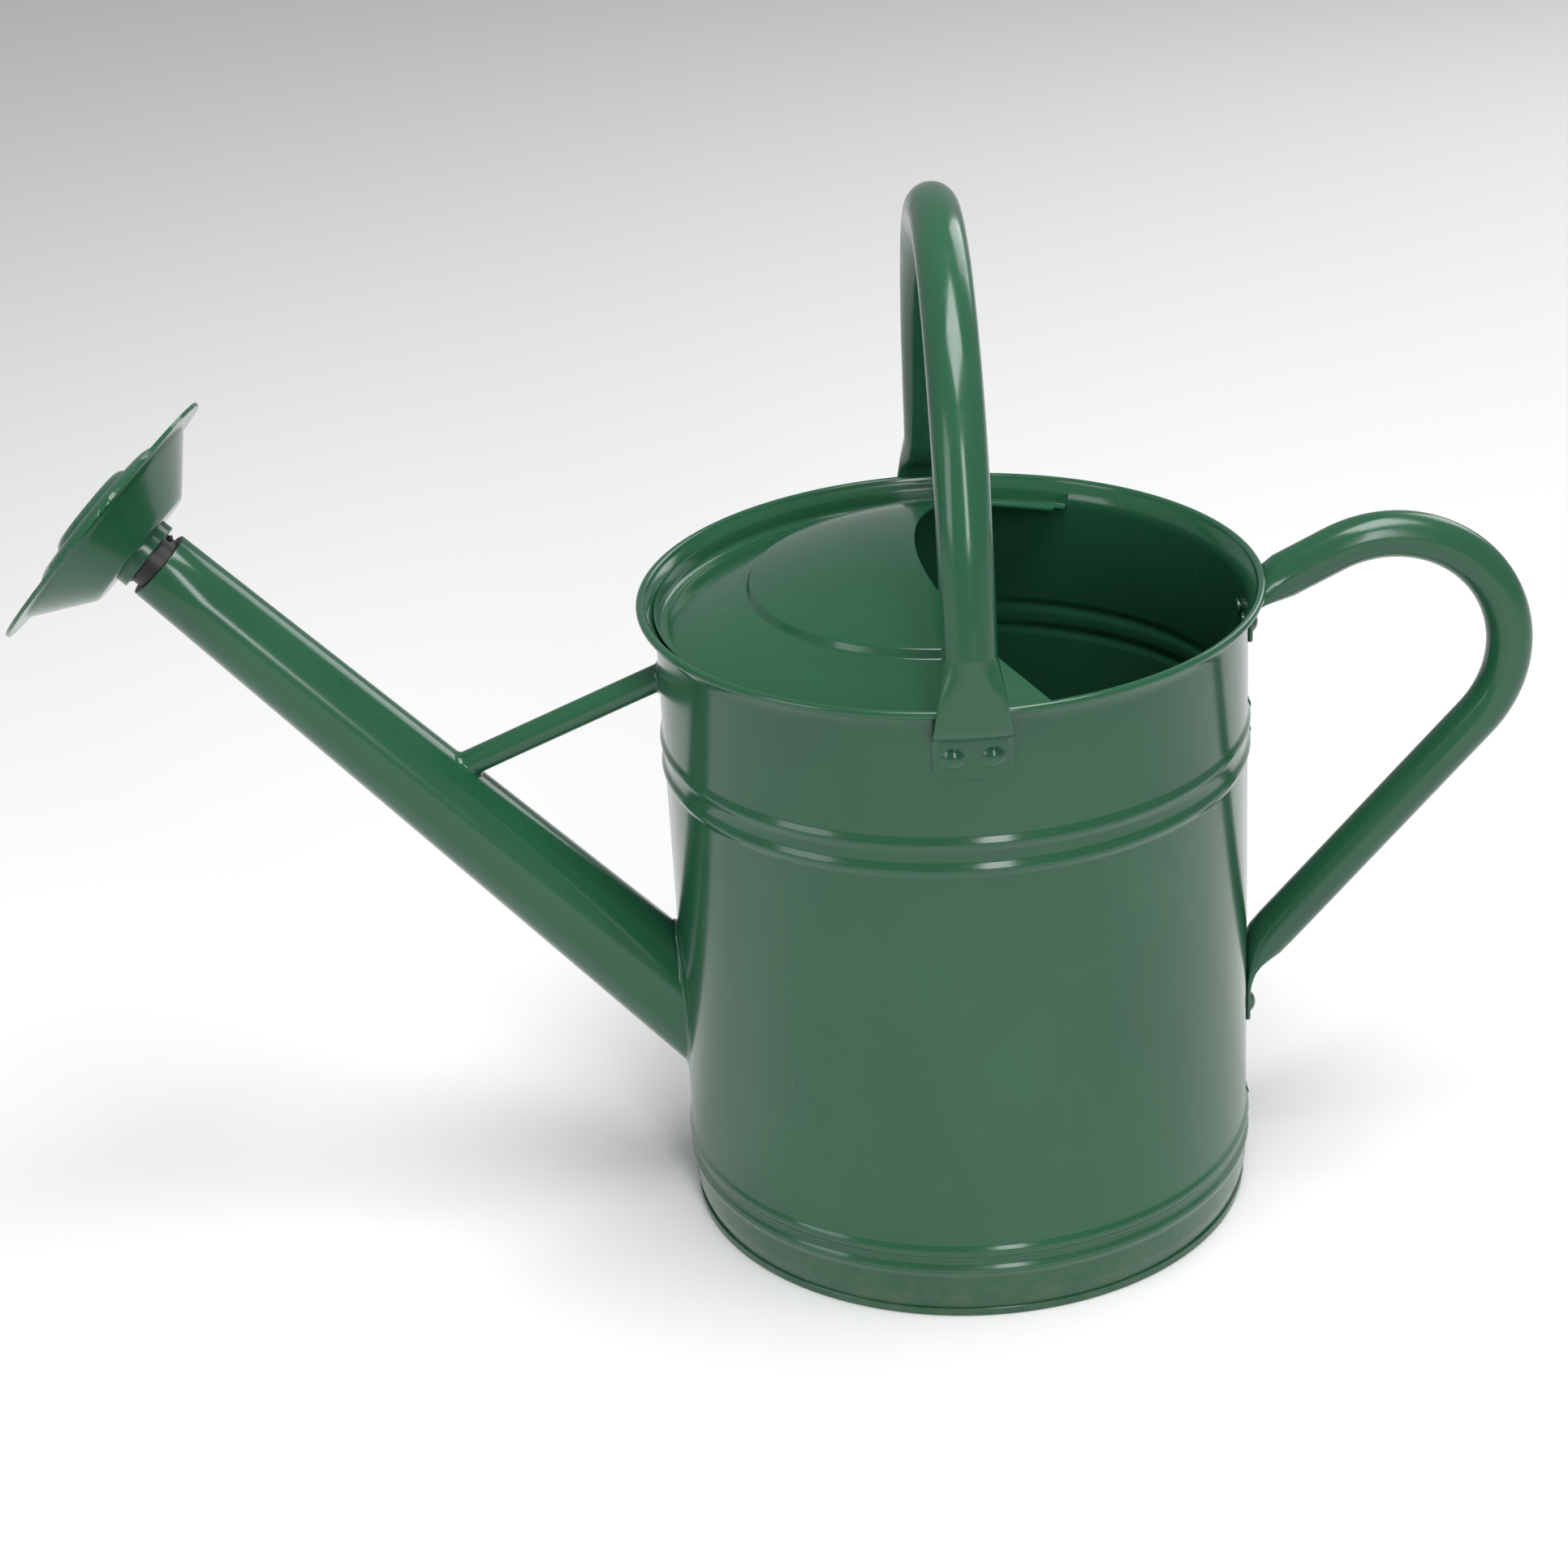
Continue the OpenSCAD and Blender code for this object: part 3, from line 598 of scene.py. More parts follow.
def run_on(stations, side, out):
    """Goes on from the ring that is selected."""
    centres = [out * s[0] + Vector((0, 0, s[1])) for s in stations]
    for k, (distance, height, wide, thick, square, hug) in enumerate(stations):
        ahead = centres[min(k + 1, len(centres) - 1)]
        behind = centres[max(k - 1, 0)]
        push_ring(centres[k], (ahead - behind).normalized(), side, wide, thick,
                  square=square, hug=hug)


side_y, out_x = Vector((0, 1, 0)), Vector((1, 0, 0))
pouring = start_ring("pouring_handle_tube")
run_of(lower_stations(), side_y, out_x)
shape_ring(on_bend(low_bend_angle), Vector((math.cos(RUN_SLOPE), 0, math.sin(RUN_SLOPE))),
           side_y, 2 * POUR_R, 2 * POUR_R)
bpy.ops.mesh.spin(steps=44, angle=top_bend_angle - low_bend_angle, center=BEND_MID, axis=(0, 1, 0))
run_on(upper_stations(), side_y, out_x)
bpy.ops.object.mode_set(mode="OBJECT")
close_tube_ends(pouring)
finish_piece(pouring, "can", "pouring_handle_paint", ["pouring_handle"], crease=50)

# %% [markdown]
# ## Rivets
# Eight domed rivets hold the handles. A rivet is a turned shape: a low dome, a shank and, inside
# the tank, a small closed end. It is drawn and spun once, then copied to each place and turned to
# stand square on the curved wall.

# %% Rivets
HEAD_R = 4 * mm
HEAD_H = 1.95 * mm
PITCH = 13.8 * mm
dome_r = (HEAD_R ** 2 + HEAD_H ** 2) / (2 * HEAD_H)
dome_edge = math.degrees(math.asin(HEAD_R / dome_r))
head_line = arc((0, HEAD_H - dome_r), dome_r, 90, 90 - dome_edge + 4, 8)
rivet_line = (head_line + [radial(HEAD_R, 0.1 * mm), radial(HEAD_R - 0.1 * mm, -0.3 * mm),
                           radial(2 * mm, -0.3 * mm), radial(2 * mm, -3 * mm)]
              + arc((0, -3.1 * mm), 3.2 * mm, 0, -78, 5) + [radial(0, -4.1 * mm)])


def squashed(points, floor):
    """Nothing lower than floor: the closed end is flat."""
    return [(x, y, max(z, floor)) for x, y, z in points]


def make_rivet():
    rivet = draw_line("rivet", squashed(rivet_line, -4.1 * mm))
    spin_line(rivet, steps=40)
    return rivet


def rivet_pair(name, heading, height, node):
    """Two rivets side by side, on the wall at a heading in degrees from +X."""
    pair = []
    for side in (-1, 1):
        rivet = make_rivet()
        seat = TANK_R + TAB_THICK
        lean = side * math.asin(PITCH / 2 / seat)
        turned = math.radians(heading) + lean
        rivet.rotation_euler = (0, math.pi / 2, turned)
        rivet.location = (seat * math.cos(turned), seat * math.sin(turned), height)
        bpy.ops.object.transform_apply(location=True, rotation=True, scale=True)
        pair.append(rivet)
    take(pair[0])
    pair[1].select_set(True)
    bpy.ops.object.join()
    named(name)
    return finish_piece(pair[0], "can", "rivet_paint", [node], crease=40)


rivet_pair("carrying_handle_rivets_near", -90, RIVET_Z, "top_handle_front_rivets")
rivet_pair("carrying_handle_rivets_far", 90, RIVET_Z, "top_handle_back_rivets")
rivet_pair("pouring_handle_rivets_top", 0, RIVET_Z, "pouring_handle_upper_rivets")
rivet_pair("pouring_handle_rivets_low", 0, LOW_RIVET_Z, "pouring_handle_lower_rivets")

# %% [markdown]
# ## Spout
# The spout is a cone of sheet. A ring at the lip is extruded down the axis and widened, given its
# wall, and trimmed by the tank, so that its end is coped to the wall.

# %% Spout
def frame_along(origin, direction, up_hint):
    """A matrix whose Z runs along direction and whose X leans to the hint."""
    z = Vector(direction).normalized()
    x = (Vector(up_hint) - z * Vector(up_hint).dot(z)).normalized()
    y = z.cross(x)
    turn_to = Matrix((x, y, z)).transposed().to_4x4()
    turn_to.translation = origin
    return turn_to


def put(piece, matrix):
    take(piece)
    piece.matrix_world = matrix
    bpy.ops.object.transform_apply(location=True, rotation=True, scale=True)


def round_tube(name, profile, steps=96):
    tube = draw_line(name, profile)
    return spin_line(tube, steps=steps)


spout_frame = frame_along(SPOUT_FOOT, SPOUT_LINE, (0, 0, 1))
taper = (SPOUT_ROOT_R - SPOUT_LIP_R) / SPOUT_LONG


def spout_radius(distance):
    return SPOUT_ROOT_R - taper * distance


def tank_plug(shrink):
    let_go()
    bpy.ops.mesh.primitive_cylinder_add(vertices=256, radius=TANK_R - shrink, depth=0.5,
                                        location=(0, 0, 0.2))
    return named("tank_plug")


marks = [-36 * mm + (SPOUT_LONG + 36 * mm - 0.3 * mm) * k / 14 for k in range(15)]
spout = round_tube("spout_cone", [radial(spout_radius(s), s) for s in marks]
                   + [radial(spout_radius(SPOUT_LONG) - 0.1 * mm, SPOUT_LONG - 0.08 * mm),
                      radial(spout_radius(SPOUT_LONG) - 0.3 * mm, SPOUT_LONG)])
look_towards(spout, (SPOUT_ROOT_R, 0, 0.1), (1, 0, 0))
thicken(spout)
put(spout, spout_frame)
cut_away(spout, tank_plug(0.4 * mm))
finish_piece(spout, "can", "spout_paint", ["spout_tube"], crease=40)

# %% [markdown]
# ## Brace
# A straight tube falls from the wall to the spout. It is made too long at both ends, and the tank
# and the spout's own cone cut it to fit.

# %% Brace
BRACE_R = 5 * mm
BRACE_DROP = math.radians(22.6)
BRACE_FOOT = Vector((-TANK_R, 0, 217.4 * mm))
spout_rise = math.atan2(SPOUT_LINE.z, -SPOUT_LINE.x)
brace_reach = ((BRACE_FOOT.z - SPOUT_FOOT.z) / (math.tan(spout_rise) + math.tan(BRACE_DROP))
               / math.cos(BRACE_DROP))
BRACE_LINE = Vector((-math.cos(BRACE_DROP), 0, -math.sin(BRACE_DROP)))
brace_frame = frame_along(BRACE_FOOT, BRACE_LINE, (0, 0, 1))
brace = round_tube("spout_brace_tube", [radial(BRACE_R, s) for s in (-4 * mm, 30 * mm, 60 * mm,
                                                                     brace_reach)], steps=48)
look_towards(brace, (BRACE_R, 0, 30 * mm), (1, 0, 0))
thicken(brace, 1.2 * mm)
put(brace, brace_frame)
cut_away(brace, tank_plug(0.4 * mm))
core = round_tube("spout_core", [radial(0, -36 * mm), radial(spout_radius(-36 * mm) - 0.4 * mm, -36 * mm),
                                 radial(spout_radius(SPOUT_LONG) - 0.4 * mm, SPOUT_LONG),
                                 radial(0, SPOUT_LONG)])
put(core, spout_frame)
cut_away(brace, core)
finish_piece(brace, "can", "brace_paint", ["spout_brace"], crease=40)

# %% [markdown]
# ## Welds
# The spout and the brace are welded, then painted over, so each joint shows as a soft fillet with
# faint ripples. A fillet joins two loops: one a little way up the tube, one a little way out on
# what the tube meets. Each corner of a ring is slid along the tube until it reaches the surface,
# and the rings between are drawn on a hollow curve.

# %% Weld fillets
def slide_to(start, direction, gap, far):
    """Distance along direction at which gap(point) turns from positive to negative."""
    near = 0.0
    for _ in range(40):
        middle = (near + far) / 2
        if gap(start + direction * middle) > 0:
            near = middle
        else:
            far = middle
    return (near + far) / 2


def to_tank(point):
    return math.hypot(point.x, point.y) - TANK_R


def to_spout(point):
    along = (point - SPOUT_FOOT).dot(SPOUT_LINE)
    off = (point - SPOUT_FOOT) - SPOUT_LINE * along
    return off.length - spout_radius(along)


def fillet(name, matrix, radius, gap, start, way, toe, bead, slot_name, count=96):
    """A weld round a tube, where it meets the surface gap = 0. Each corner slides from start
    along the tube, towards the tube's end if way is 1 and back towards its foot if it is -1."""
    let_go()
    bpy.ops.mesh.primitive_circle_add(vertices=count, radius=toe, location=(0, 0, 0))
    piece = named(name)
    bpy.ops.object.mode_set(mode="EDIT")
    bpy.ops.mesh.select_all(action="SELECT")
    mesh = bmesh.from_edit_mesh(piece.data)
    around = mesh.verts.layers.float.new("around")
    for corner in mesh.verts:
        corner[around] = math.atan2(corner.co.y, corner.co.x)
    bmesh.update_edit_mesh(piece.data)
    axis = (matrix.to_3x3() @ Vector((0, 0, 1))).normalized()
    rings = 7
    for k in range(rings + 1):
        if k:
            bpy.ops.mesh.extrude_region_move(TRANSFORM_OT_translate={"value": (0, 0, mm)})
        mesh = bmesh.from_edit_mesh(piece.data)
        around = mesh.verts.layers.float["around"]
        t = k / rings
        for corner in (v for v in mesh.verts if v.select):
            a = corner[around]
            ripple = 1 + bead * math.sin(a * 37) * math.sin(math.pi * t)
            out = toe * (1 - math.sin(t * math.pi / 2)) * ripple
            up = toe * (1 - math.cos(t * math.pi / 2)) * ripple
            ring_r = radius + out + 0.02 * mm
            place = matrix @ Vector((ring_r * math.cos(a), ring_r * math.sin(a), start))
            slid = slide_to(place, axis * way, gap, 100 * mm)
            lift = up - (0.25 * mm if k == 0 else 0)
            corner.co = place + axis * way * (slid - lift)
        bmesh.update_edit_mesh(piece.data)
    bpy.ops.mesh.select_all(action="SELECT")
    bpy.ops.object.mode_set(mode="OBJECT")
    return finish_piece(piece, "can", slot_name, crease=60)


fillet("spout_weld", spout_frame, SPOUT_ROOT_R, to_tank, 50 * mm, -1, 2.6 * mm, 0.06,
       "spout_paint")
fillet("brace_weld_wall", brace_frame, BRACE_R, to_tank, 20 * mm, -1, 1.6 * mm, 0.1,
       "brace_paint", count=64)
fillet("brace_weld_spout", brace_frame, BRACE_R, to_spout, brace_reach - 45 * mm, 1, 1.8 * mm, 0.1,
       "brace_paint", count=64)

# %% [markdown]
# ## Connector
# A black moulded connector is pushed into the spout's lip. Its sleeve is inside the spout, and its
# threaded spigot stands out for the rose. The thread is one true helix: a small ridge section is
# wound along the spigot with a Screw modifier, which is what that modifier is for.

# %% Connector
rose_frame = frame_along(LIP, ROSE_AXIS, (0, 0, 1))
THREAD_R = 11.3 * mm
CORE_R = THREAD_R - 0.9 * mm
THREAD_PITCH = 3 * mm
SPIGOT = 13 * mm
BORE_R = 8 * mm
SLEEVE = 18 * mm
sleeve_r = SPOUT_LIP_R - SHEET - 0.05 * mm
sleeve = round_tube("connector_sleeve", [
    radial(sleeve_r - 2 * mm, SPOUT_LONG - SLEEVE),
    radial(sleeve_r + taper * SLEEVE - 0.3 * mm, SPOUT_LONG - SLEEVE),
    radial(sleeve_r + taper * SLEEVE, SPOUT_LONG - SLEEVE + 0.4 * mm),
    radial(sleeve_r, SPOUT_LONG - 0.3 * mm), radial(sleeve_r - 0.3 * mm, SPOUT_LONG),
    radial(BORE_R, SPOUT_LONG), radial(BORE_R, SPOUT_LONG - 3 * mm),
    radial(sleeve_r - 2 * mm, SPOUT_LONG - 3.4 * mm), radial(sleeve_r - 2 * mm, SPOUT_LONG - SLEEVE)],
    steps=72)
put(sleeve, spout_frame)
spigot = round_tube("connector_spigot", [
    radial(BORE_R, -2.5 * mm), radial(CORE_R, -2.5 * mm), radial(CORE_R, SPIGOT - 0.6 * mm),
    radial(CORE_R - 0.6 * mm, SPIGOT), radial(BORE_R + 0.3 * mm, SPIGOT),
    radial(BORE_R, SPIGOT - 0.3 * mm), radial(BORE_R, -2.5 * mm)], steps=72)
put(spigot, rose_frame)
thread = draw_line("connector_thread", [
    radial(CORE_R - 0.2 * mm, 1.2 * mm), radial(THREAD_R - 0.12 * mm, 2.1 * mm),
    radial(THREAD_R, 2.3 * mm), radial(THREAD_R, 2.6 * mm), radial(THREAD_R - 0.12 * mm, 2.8 * mm),
    radial(CORE_R - 0.2 * mm, 3.7 * mm), radial(CORE_R - 0.2 * mm, 1.2 * mm)])
bpy.ops.mesh.remove_doubles(threshold=0.001 * mm)
bpy.ops.mesh.select_all(action="SELECT")
bpy.ops.mesh.remove_doubles(threshold=0.001 * mm)
bpy.ops.object.mode_set(mode="OBJECT")
apply_modifier(thread, "SCREW", angle=2 * math.pi * 2.9, screw_offset=THREAD_PITCH * 2.9,
               steps=210, render_steps=210, axis="Z", use_merge_vertices=False)


def close_all(piece):
    """Fills open ends and turns every face outwards."""
    take(piece)
    bpy.ops.object.mode_set(mode="EDIT")
    bpy.ops.mesh.select_all(action="SELECT")
    bpy.ops.mesh.fill_holes(sides=12)
    bpy.ops.mesh.select_all(action="SELECT")
    bpy.ops.mesh.normals_make_consistent(inside=False)
    bpy.ops.object.mode_set(mode="OBJECT")


close_all(thread)
put(thread, rose_frame)
take(sleeve)
spigot.select_set(True)
thread.select_set(True)
bpy.ops.object.join()
named("spout_connector_moulding")
finish_piece(sleeve, "can", "connector_plastic", ["spout_connector"], crease=32)

# %% [markdown]
# ## Rose
# The rose is a threaded collar, a pressed cone with a wide flange, and a stepped face with its
# edge rolled round the flange. The cone and collar are turned again with soft bends.

# %% Collar and shell
COLLAR_GAP = 4 * mm
COLLAR_R = SPOUT_LIP_R
COLLAR_END = 16 * mm
SHELL_Z = COLLAR_GAP + 4.1 * mm
FLANGE_Z = SHELL_Z + 16.6 * mm
SHELL_BACK_R = 24.7 * mm
SHELL_R = 44.3 * mm
ROSE_R = 54.1 * mm
collar_bore = THREAD_R + 0.08 * mm
collar = round_tube("rose_collar_ring", [
    radial(collar_bore + 0.3 * mm, COLLAR_GAP), radial(COLLAR_R - 0.3 * mm, COLLAR_GAP),
    radial(COLLAR_R, COLLAR_GAP + 0.3 * mm), radial(COLLAR_R, COLLAR_END - 0.3 * mm),
    radial(COLLAR_R - 0.3 * mm, COLLAR_END), radial(BORE_R, COLLAR_END),
    radial(BORE_R, COLLAR_END - 1.5 * mm), radial(collar_bore, COLLAR_END - 1.5 * mm),
    radial(collar_bore, COLLAR_GAP + 0.3 * mm), radial(collar_bore + 0.3 * mm, COLLAR_GAP)], steps=96)
put(collar, rose_frame)
finish_piece(collar, "rose", "rose_paint", ["rose_collar"], crease=32)


def shell_line():
    back = [radial(COLLAR_R + 0.03 * mm, SHELL_Z), radial(SHELL_BACK_R - 2 * mm, SHELL_Z + 0.1 * mm),
            radial(SHELL_BACK_R - 0.9 * mm, SHELL_Z + 0.4 * mm)]
    cone = [radial(SHELL_BACK_R + (SHELL_R - SHELL_BACK_R) * k / 10,
                   SHELL_Z + 0.9 * mm + (FLANGE_Z - SHELL_Z - 1.7 * mm) * k / 10)
            for k in range(11)]
    return back + cone + [radial(SHELL_R + 0.35 * mm, FLANGE_Z - 0.3 * mm),
                          radial(SHELL_R + 1 * mm, FLANGE_Z), radial(ROSE_R - 1 * mm, FLANGE_Z)]


shell = round_tube("rose_shell_pressing", shell_line(), steps=144)
look_towards(shell, (SHELL_R + 4 * mm, 0, FLANGE_Z), (0, 0, -1))
thicken(shell)
put(shell, rose_frame)
finish_piece(shell, "rose", "rose_paint", ["rose_shell"], crease=40)

# %% [markdown]
# ## Face, washer and wire
# The face has a real hole for every jet. The CAD mesh already holds that pattern exactly, so it is
# copied, its corners are merged, and it is shaded smoothly. The washer and the rim's wire are plain
# rings, and are copied the same way.

# %% Face
def smooth_copy(node, name, slot, body, crease):
    """A CAD node's mesh with its corners merged, to be shaded smoothly."""
    let_go()
    source = frame["nodes"][node]
    source.hide_viewport = False
    take(source)
    bpy.ops.object.duplicate()
    piece = named(name)
    bpy.ops.object.mode_set(mode="EDIT")
    bpy.ops.mesh.select_all(action="SELECT")
    bpy.ops.mesh.remove_doubles(threshold=0.002 * mm)
    bpy.ops.object.mode_set(mode="OBJECT")
    return finish_piece(piece, body, slot, [node], crease=crease)


smooth_copy("rose_face", "rose_face_plate", "rose_paint", "rose", 32)
smooth_copy("sealing_washer", "rose_washer", "washer_rubber", "washer", 40)
smooth_copy("rim_wire", "rim_stiffening_wire", "rim_wire_steel", "can", 60)

# %% [markdown]
# ## Shader maths as sums
# A finish is easier to read as a sum than as a web of nodes. A small class holds a socket and
# turns + - * into Math nodes, also when the number comes first. Every other node comes from one
# method that sets its options and fills its sockets.

# %% A socket that does sums
class Signal:
    def __init__(self, finish, socket):
        self.finish = finish
        self.socket = socket

    def maths(self, operation, *values):
        settings = {"operation": operation}
        return self.finish.node("ShaderNodeMath", settings, dict(enumerate(values)))

    def __add__(self, other):
        return self.maths("ADD", self, other)

    __radd__ = __add__

    def __sub__(self, other):
        return self.maths("SUBTRACT", self, other)

    def __rsub__(self, other):
        return self.maths("SUBTRACT", other, self)

    def __mul__(self, other):
        return self.maths("MULTIPLY", self, other)

    __rmul__ = __mul__

    def between(self, low, high):
        """0 below low, 1 above high, with soft ends."""
        settings = {"interpolation_type": "SMOOTHSTEP"}
        return self.finish.node("ShaderNodeMapRange", settings,
                                {"Value": self, "From Min": low, "From Max": high})


class Finish:
    def __init__(self, name):
        self.material = bpy.data.materials.new(name)
        self.material.use_nodes = True
        self.tree = self.material.node_tree
        self.shader = self.tree.nodes["Principled BSDF"]
        self.places = self.node("ShaderNodeTexCoord", {}, {}, "Object")

    def fill(self, socket, value):
        if isinstance(value, Signal):
            self.tree.links.new(value.socket, socket)
        else:
            socket.default_value = value

    def node(self, kind, settings, inputs, output=0):
        made = self.tree.nodes.new(kind)
        for key, value in settings.items():
            setattr(made, key, value)
        for key, value in inputs.items():
            self.fill(made.inputs[key], value)
        return Signal(self, made.outputs[output])

    def set(self, **sockets):
        for key, value in sockets.items():
            self.fill(self.shader.inputs[key.replace("_", " ")], value)

    def noise(self, scale, detail=2.0, rough=0.5, where=None):
        return self.node("ShaderNodeTexNoise", {}, {"Vector": where or self.places, "Scale": scale,
                                                    "Detail": detail, "Roughness": rough})

    def stretched(self, scale, turn=(0, 0, 0)):
        return self.node("ShaderNodeMapping", {}, {"Vector": self.places, "Scale": scale,
                                                   "Rotation": turn})

    def blend(self, mask, first, second):
        made = self.tree.nodes.new("ShaderNodeMix")
        made.data_type = "RGBA"
        self.fill(made.inputs[0], mask)
        self.fill(made.inputs[6], first)
        self.fill(made.inputs[7], second)
        return Signal(self, made.outputs[2])

    def bump(self, height, distance, strength=1.0):
        return self.node("ShaderNodeBump", {}, {"Height": height, "Distance": distance,
                                                "Strength": strength})

    def height_of(self):
        return self.node("ShaderNodeSeparateXYZ", {}, {"Vector": self.places}, "Z")

# %% [markdown]
# ## Green powder coat
# The whole can is powder coated after it is made, so sheet, tube, rivets and welds share one dark
# green. Baked powder has a faint orange-peel skin, millimetre-wide ripples that break up the
# edge of each highlight, and a clear gloss. Use adds fine scratches, dull patches where hands and
# the ground touch it, and dust low on the wall. One function makes it, with amounts per piece.

# %% Powder coat
GREEN = (0.015, 0.088, 0.042, 1)
GREEN_DEEP = (0.015, 0.077, 0.038, 1)
GREEN_WORN = (0.055, 0.15, 0.09, 1)
DUST = (0.16, 0.17, 0.13, 1)


def powder_coat(name, peel=1.0, scratches=1.0, handled=0.0, dust_top=0.0):
    coat = Finish(name)
    broad = coat.noise(14, 3, 0.55)
    fine = coat.noise(60, 4, 0.6)
    skin = coat.noise(620, 2, 0.45)
    grain = coat.noise(2600, 1, 0.5)
    long_scratch = coat.noise(1, 3, 0.6, coat.stretched((900, 60, 30), (0.3, 0.2, 0.5)))
    cross_scratch = coat.noise(1, 3, 0.6, coat.stretched((40, 800, 60), (0.1, 0.5, -0.4)))
    scratch = (long_scratch.between(0.735, 0.78) + cross_scratch.between(0.74, 0.79)) * scratches
    worn = (scratch * 0.5 + fine.between(0.6, 0.78) * 0.12 * scratches)
    colour = coat.blend(broad.between(0.3, 0.7), GREEN_DEEP, GREEN)
    colour = coat.blend(worn, colour, GREEN_WORN)
    rough = 0.11 + broad * 0.07 + fine * 0.04 + scratch * 0.22
    if handled:
        grease = coat.noise(34, 4, 0.65).between(0.42, 0.68) * handled
        rough = rough + grease * 0.13
        colour = coat.blend(grease * 0.18, colour, GREEN_DEEP)
    if dust_top:
        low = 1 - coat.height_of().between(0.0, dust_top)
        dusty = low * coat.noise(90, 5, 0.7).between(0.35, 0.75) * 0.25
        colour = coat.blend(dusty, colour, DUST)
        rough = rough + dusty * 0.5
    skin_bump = coat.bump(skin * 0.8 + grain * 0.1 - scratch * 0.4, 0.00003 * peel, 0.16)
    coat.set(Base_Color=colour, Roughness=rough, Normal=skin_bump)
    coat.set(Metallic=0.0, IOR=1.45, Coat_Roughness=0.06, Coat_Weight=0.1)
    print("finish", name, "nodes", len(coat.tree.nodes))
    return coat.material

# %% [markdown]
# ## The other finishes
# The connector is black moulded plastic with a fine spark-eroded grain, the washer is rubber with
# a bloom of pale powder, and the rim wire is galvanised, with a faint spangle of crystals.

# %% Black plastic, rubber and wire
def moulded_black(name):
    plastic = Finish(name)
    grain = plastic.noise(1900, 3, 0.6)
    flow = plastic.noise(120, 3, 0.5)
    scuff = plastic.noise(1, 3, 0.6, plastic.stretched((90, 90, 1100))).between(0.66, 0.76)
    colour = plastic.blend(scuff * 0.3, (0.012, 0.012, 0.013, 1), (0.06, 0.06, 0.06, 1))
    plastic.set(Base_Color=colour, Roughness=0.34 + flow * 0.16 + scuff * 0.15,
                Normal=plastic.bump(grain, 0.00004, 0.4))
    plastic.set(Metallic=0.0, IOR=1.46)
    return plastic.material


def washer_rubber(name):
    rubber = Finish(name)
    bloom = rubber.noise(240, 4, 0.6).between(0.45, 0.75)
    pores = rubber.noise(1400, 2, 0.5)
    rubber.set(Base_Color=rubber.blend(bloom * 0.35, (0.014, 0.014, 0.014, 1), (0.07, 0.07, 0.068, 1)),
               Roughness=0.62 + bloom * 0.2, Normal=rubber.bump(pores, 0.00005, 0.5))
    rubber.set(Metallic=0.0)
    return rubber.material


def galvanised(name):
    zinc = Finish(name)
    spangle = zinc.node("ShaderNodeTexVoronoi", {}, {"Vector": zinc.places, "Scale": 260.0}, "Color")
    tone = zinc.node("ShaderNodeSeparateColor", {}, {"Color": spangle}, "Red")
    dull = zinc.noise(80, 4, 0.6)
    zinc.set(Base_Color=zinc.blend(tone, (0.42, 0.43, 0.44, 1), (0.6, 0.61, 0.62, 1)),
             Roughness=0.3 + tone * 0.12 + dull * 0.15, Metallic=1.0)
    return zinc.material

# %% [markdown]
# ## Painting the pieces
# Each slot of the record gets its own finish, because wear isn't the same everywhere: handles are
# greasy and smooth, the base is scuffed and dusty, the rose is knocked about. A piece takes the
# finish of its slot.

# %% Paint
finishes = {
    "tank_paint": powder_coat("tank_green", scratches=0.8, dust_top=0.035),
    "base_paint": powder_coat("base_green", scratches=1.6, dust_top=0.012),
    "cover_paint": powder_coat("cover_green", scratches=0.7),
    "spout_paint": powder_coat("spout_green", scratches=0.9),
    "brace_paint": powder_coat("brace_green", scratches=0.6),
    "top_handle_paint": powder_coat("carrying_handle_green", scratches=0.7, handled=1.0),
    "pouring_handle_paint": powder_coat("pouring_handle_green", scratches=0.7, handled=0.9),
    "rivet_paint": powder_coat("rivet_green", peel=0.8, scratches=1.3),
    "rose_paint": powder_coat("rose_green", scratches=1.1),
    "rim_wire_steel": galvanised("galvanised_wire"),
    "connector_plastic": moulded_black("connector_black"),
    "washer_rubber": washer_rubber("washer_black"),
}
for piece in [o for o in bpy.data.objects if o.type == "MESH" and "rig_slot" in o]:
    piece.data.materials.clear()
    piece.data.materials.append(finishes[piece["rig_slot"]])
print("painted with", len(finishes), "finishes")

# %% [markdown]
# ## Floor and light
# A can is judged by its highlights, so it gets soft ones: a big overhead panel for the rim and
# the handles, a tall panel for the streak down the tank's front, and a wide fill from the left.
# The floor is plain and pale.

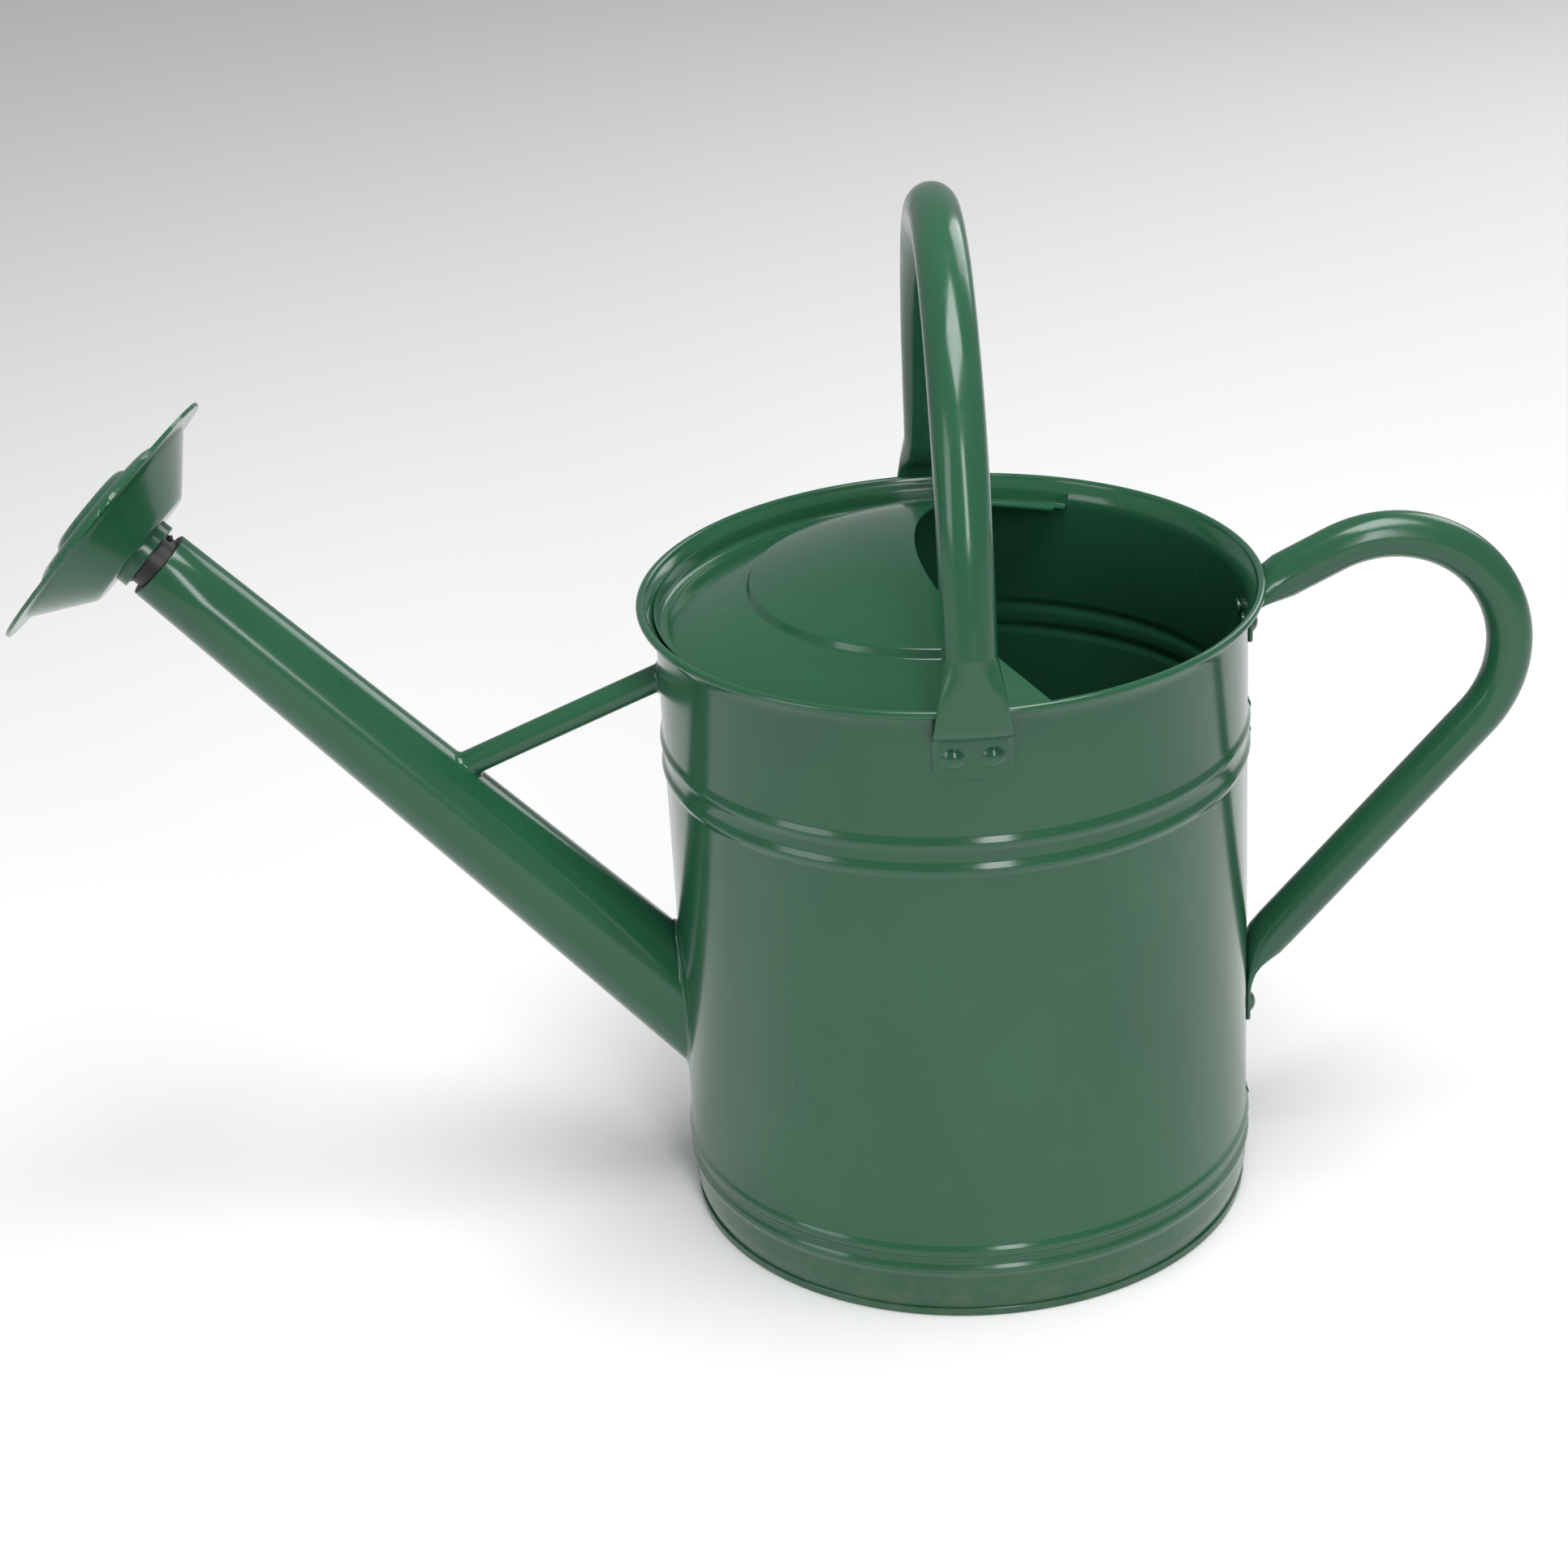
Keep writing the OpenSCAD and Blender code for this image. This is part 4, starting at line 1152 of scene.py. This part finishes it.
# %% Floor and lights
let_go()
bpy.ops.mesh.primitive_plane_add(size=8, location=(0, 0, 0))
floor = named("floor")
floor_paint = Finish("floor_white")
floor_paint.set(Base_Color=(0.83, 0.83, 0.82, 1), Roughness=0.7)
floor.data.materials.append(floor_paint.material)
world = bpy.data.worlds.new("studio")
bpy.context.scene.world = world
world.use_nodes = True
world.node_tree.nodes["Background"].inputs["Color"].default_value = (0.95, 0.97, 1.0, 1)
world.node_tree.nodes["Background"].inputs["Strength"].default_value = 0.36
AIM = Vector((-0.04, 0, 0.17))


def panel(name, place, wide, tall, power):
    let_go()
    bpy.ops.object.light_add(type="AREA", location=place)
    light = bpy.context.object
    light.name = name
    light.data.shape = "RECTANGLE"
    light.data.size = wide
    light.data.size_y = tall
    light.data.energy = power
    light.rotation_euler = (AIM - Vector(place)).to_track_quat("-Z", "Y").to_euler()
    return light


lights = [panel("overhead", (0.2, -0.3, 1.9), 1.2, 1.0, 33),
          panel("front_strip", (0.35, -1.9, 1.1), 0.4, 1.4, 16),
          panel("left_fill", (-1.8, -1.0, 0.9), 0.8, 1.2, 9),
          panel("back_edge", (1.2, 1.5, 1.2), 0.8, 1.2, 9)]
print("area lights", len(lights))

# %% [markdown]
# ## Camera
# The camera looks down on the can's near side and is rolled a little about its own axis.

# %% Camera
AROUND = math.radians(0.092)
ABOVE = math.radians(25.588)
ROLL = math.radians(-3.496)
back = Vector((math.sin(AROUND) * math.cos(ABOVE), -math.cos(AROUND) * math.cos(ABOVE),
               math.sin(ABOVE)))
right = (-back).cross(Vector((0, 0, 1))).normalized()
upward = right.cross(-back)
cam_x = right * math.cos(ROLL) + upward * math.sin(ROLL)
cam_y = upward * math.cos(ROLL) - right * math.sin(ROLL)
let_go()
bpy.ops.object.camera_add(location=(0, 0, 0))
camera = bpy.context.object
camera.data.sensor_width = 36
camera.data.lens = 76.63
pose = Matrix((cam_x, cam_y, back)).transposed().to_4x4()
pose.translation = Vector((-62.9, -1131.4, 712.2)) * mm
camera.matrix_world = pose
camera.data.clip_start = 0.05
bpy.context.scene.camera = camera
bpy.context.scene.view_settings.view_transform = "Standard"
print("camera distance", round((camera.location - AIM).length, 3), "m")
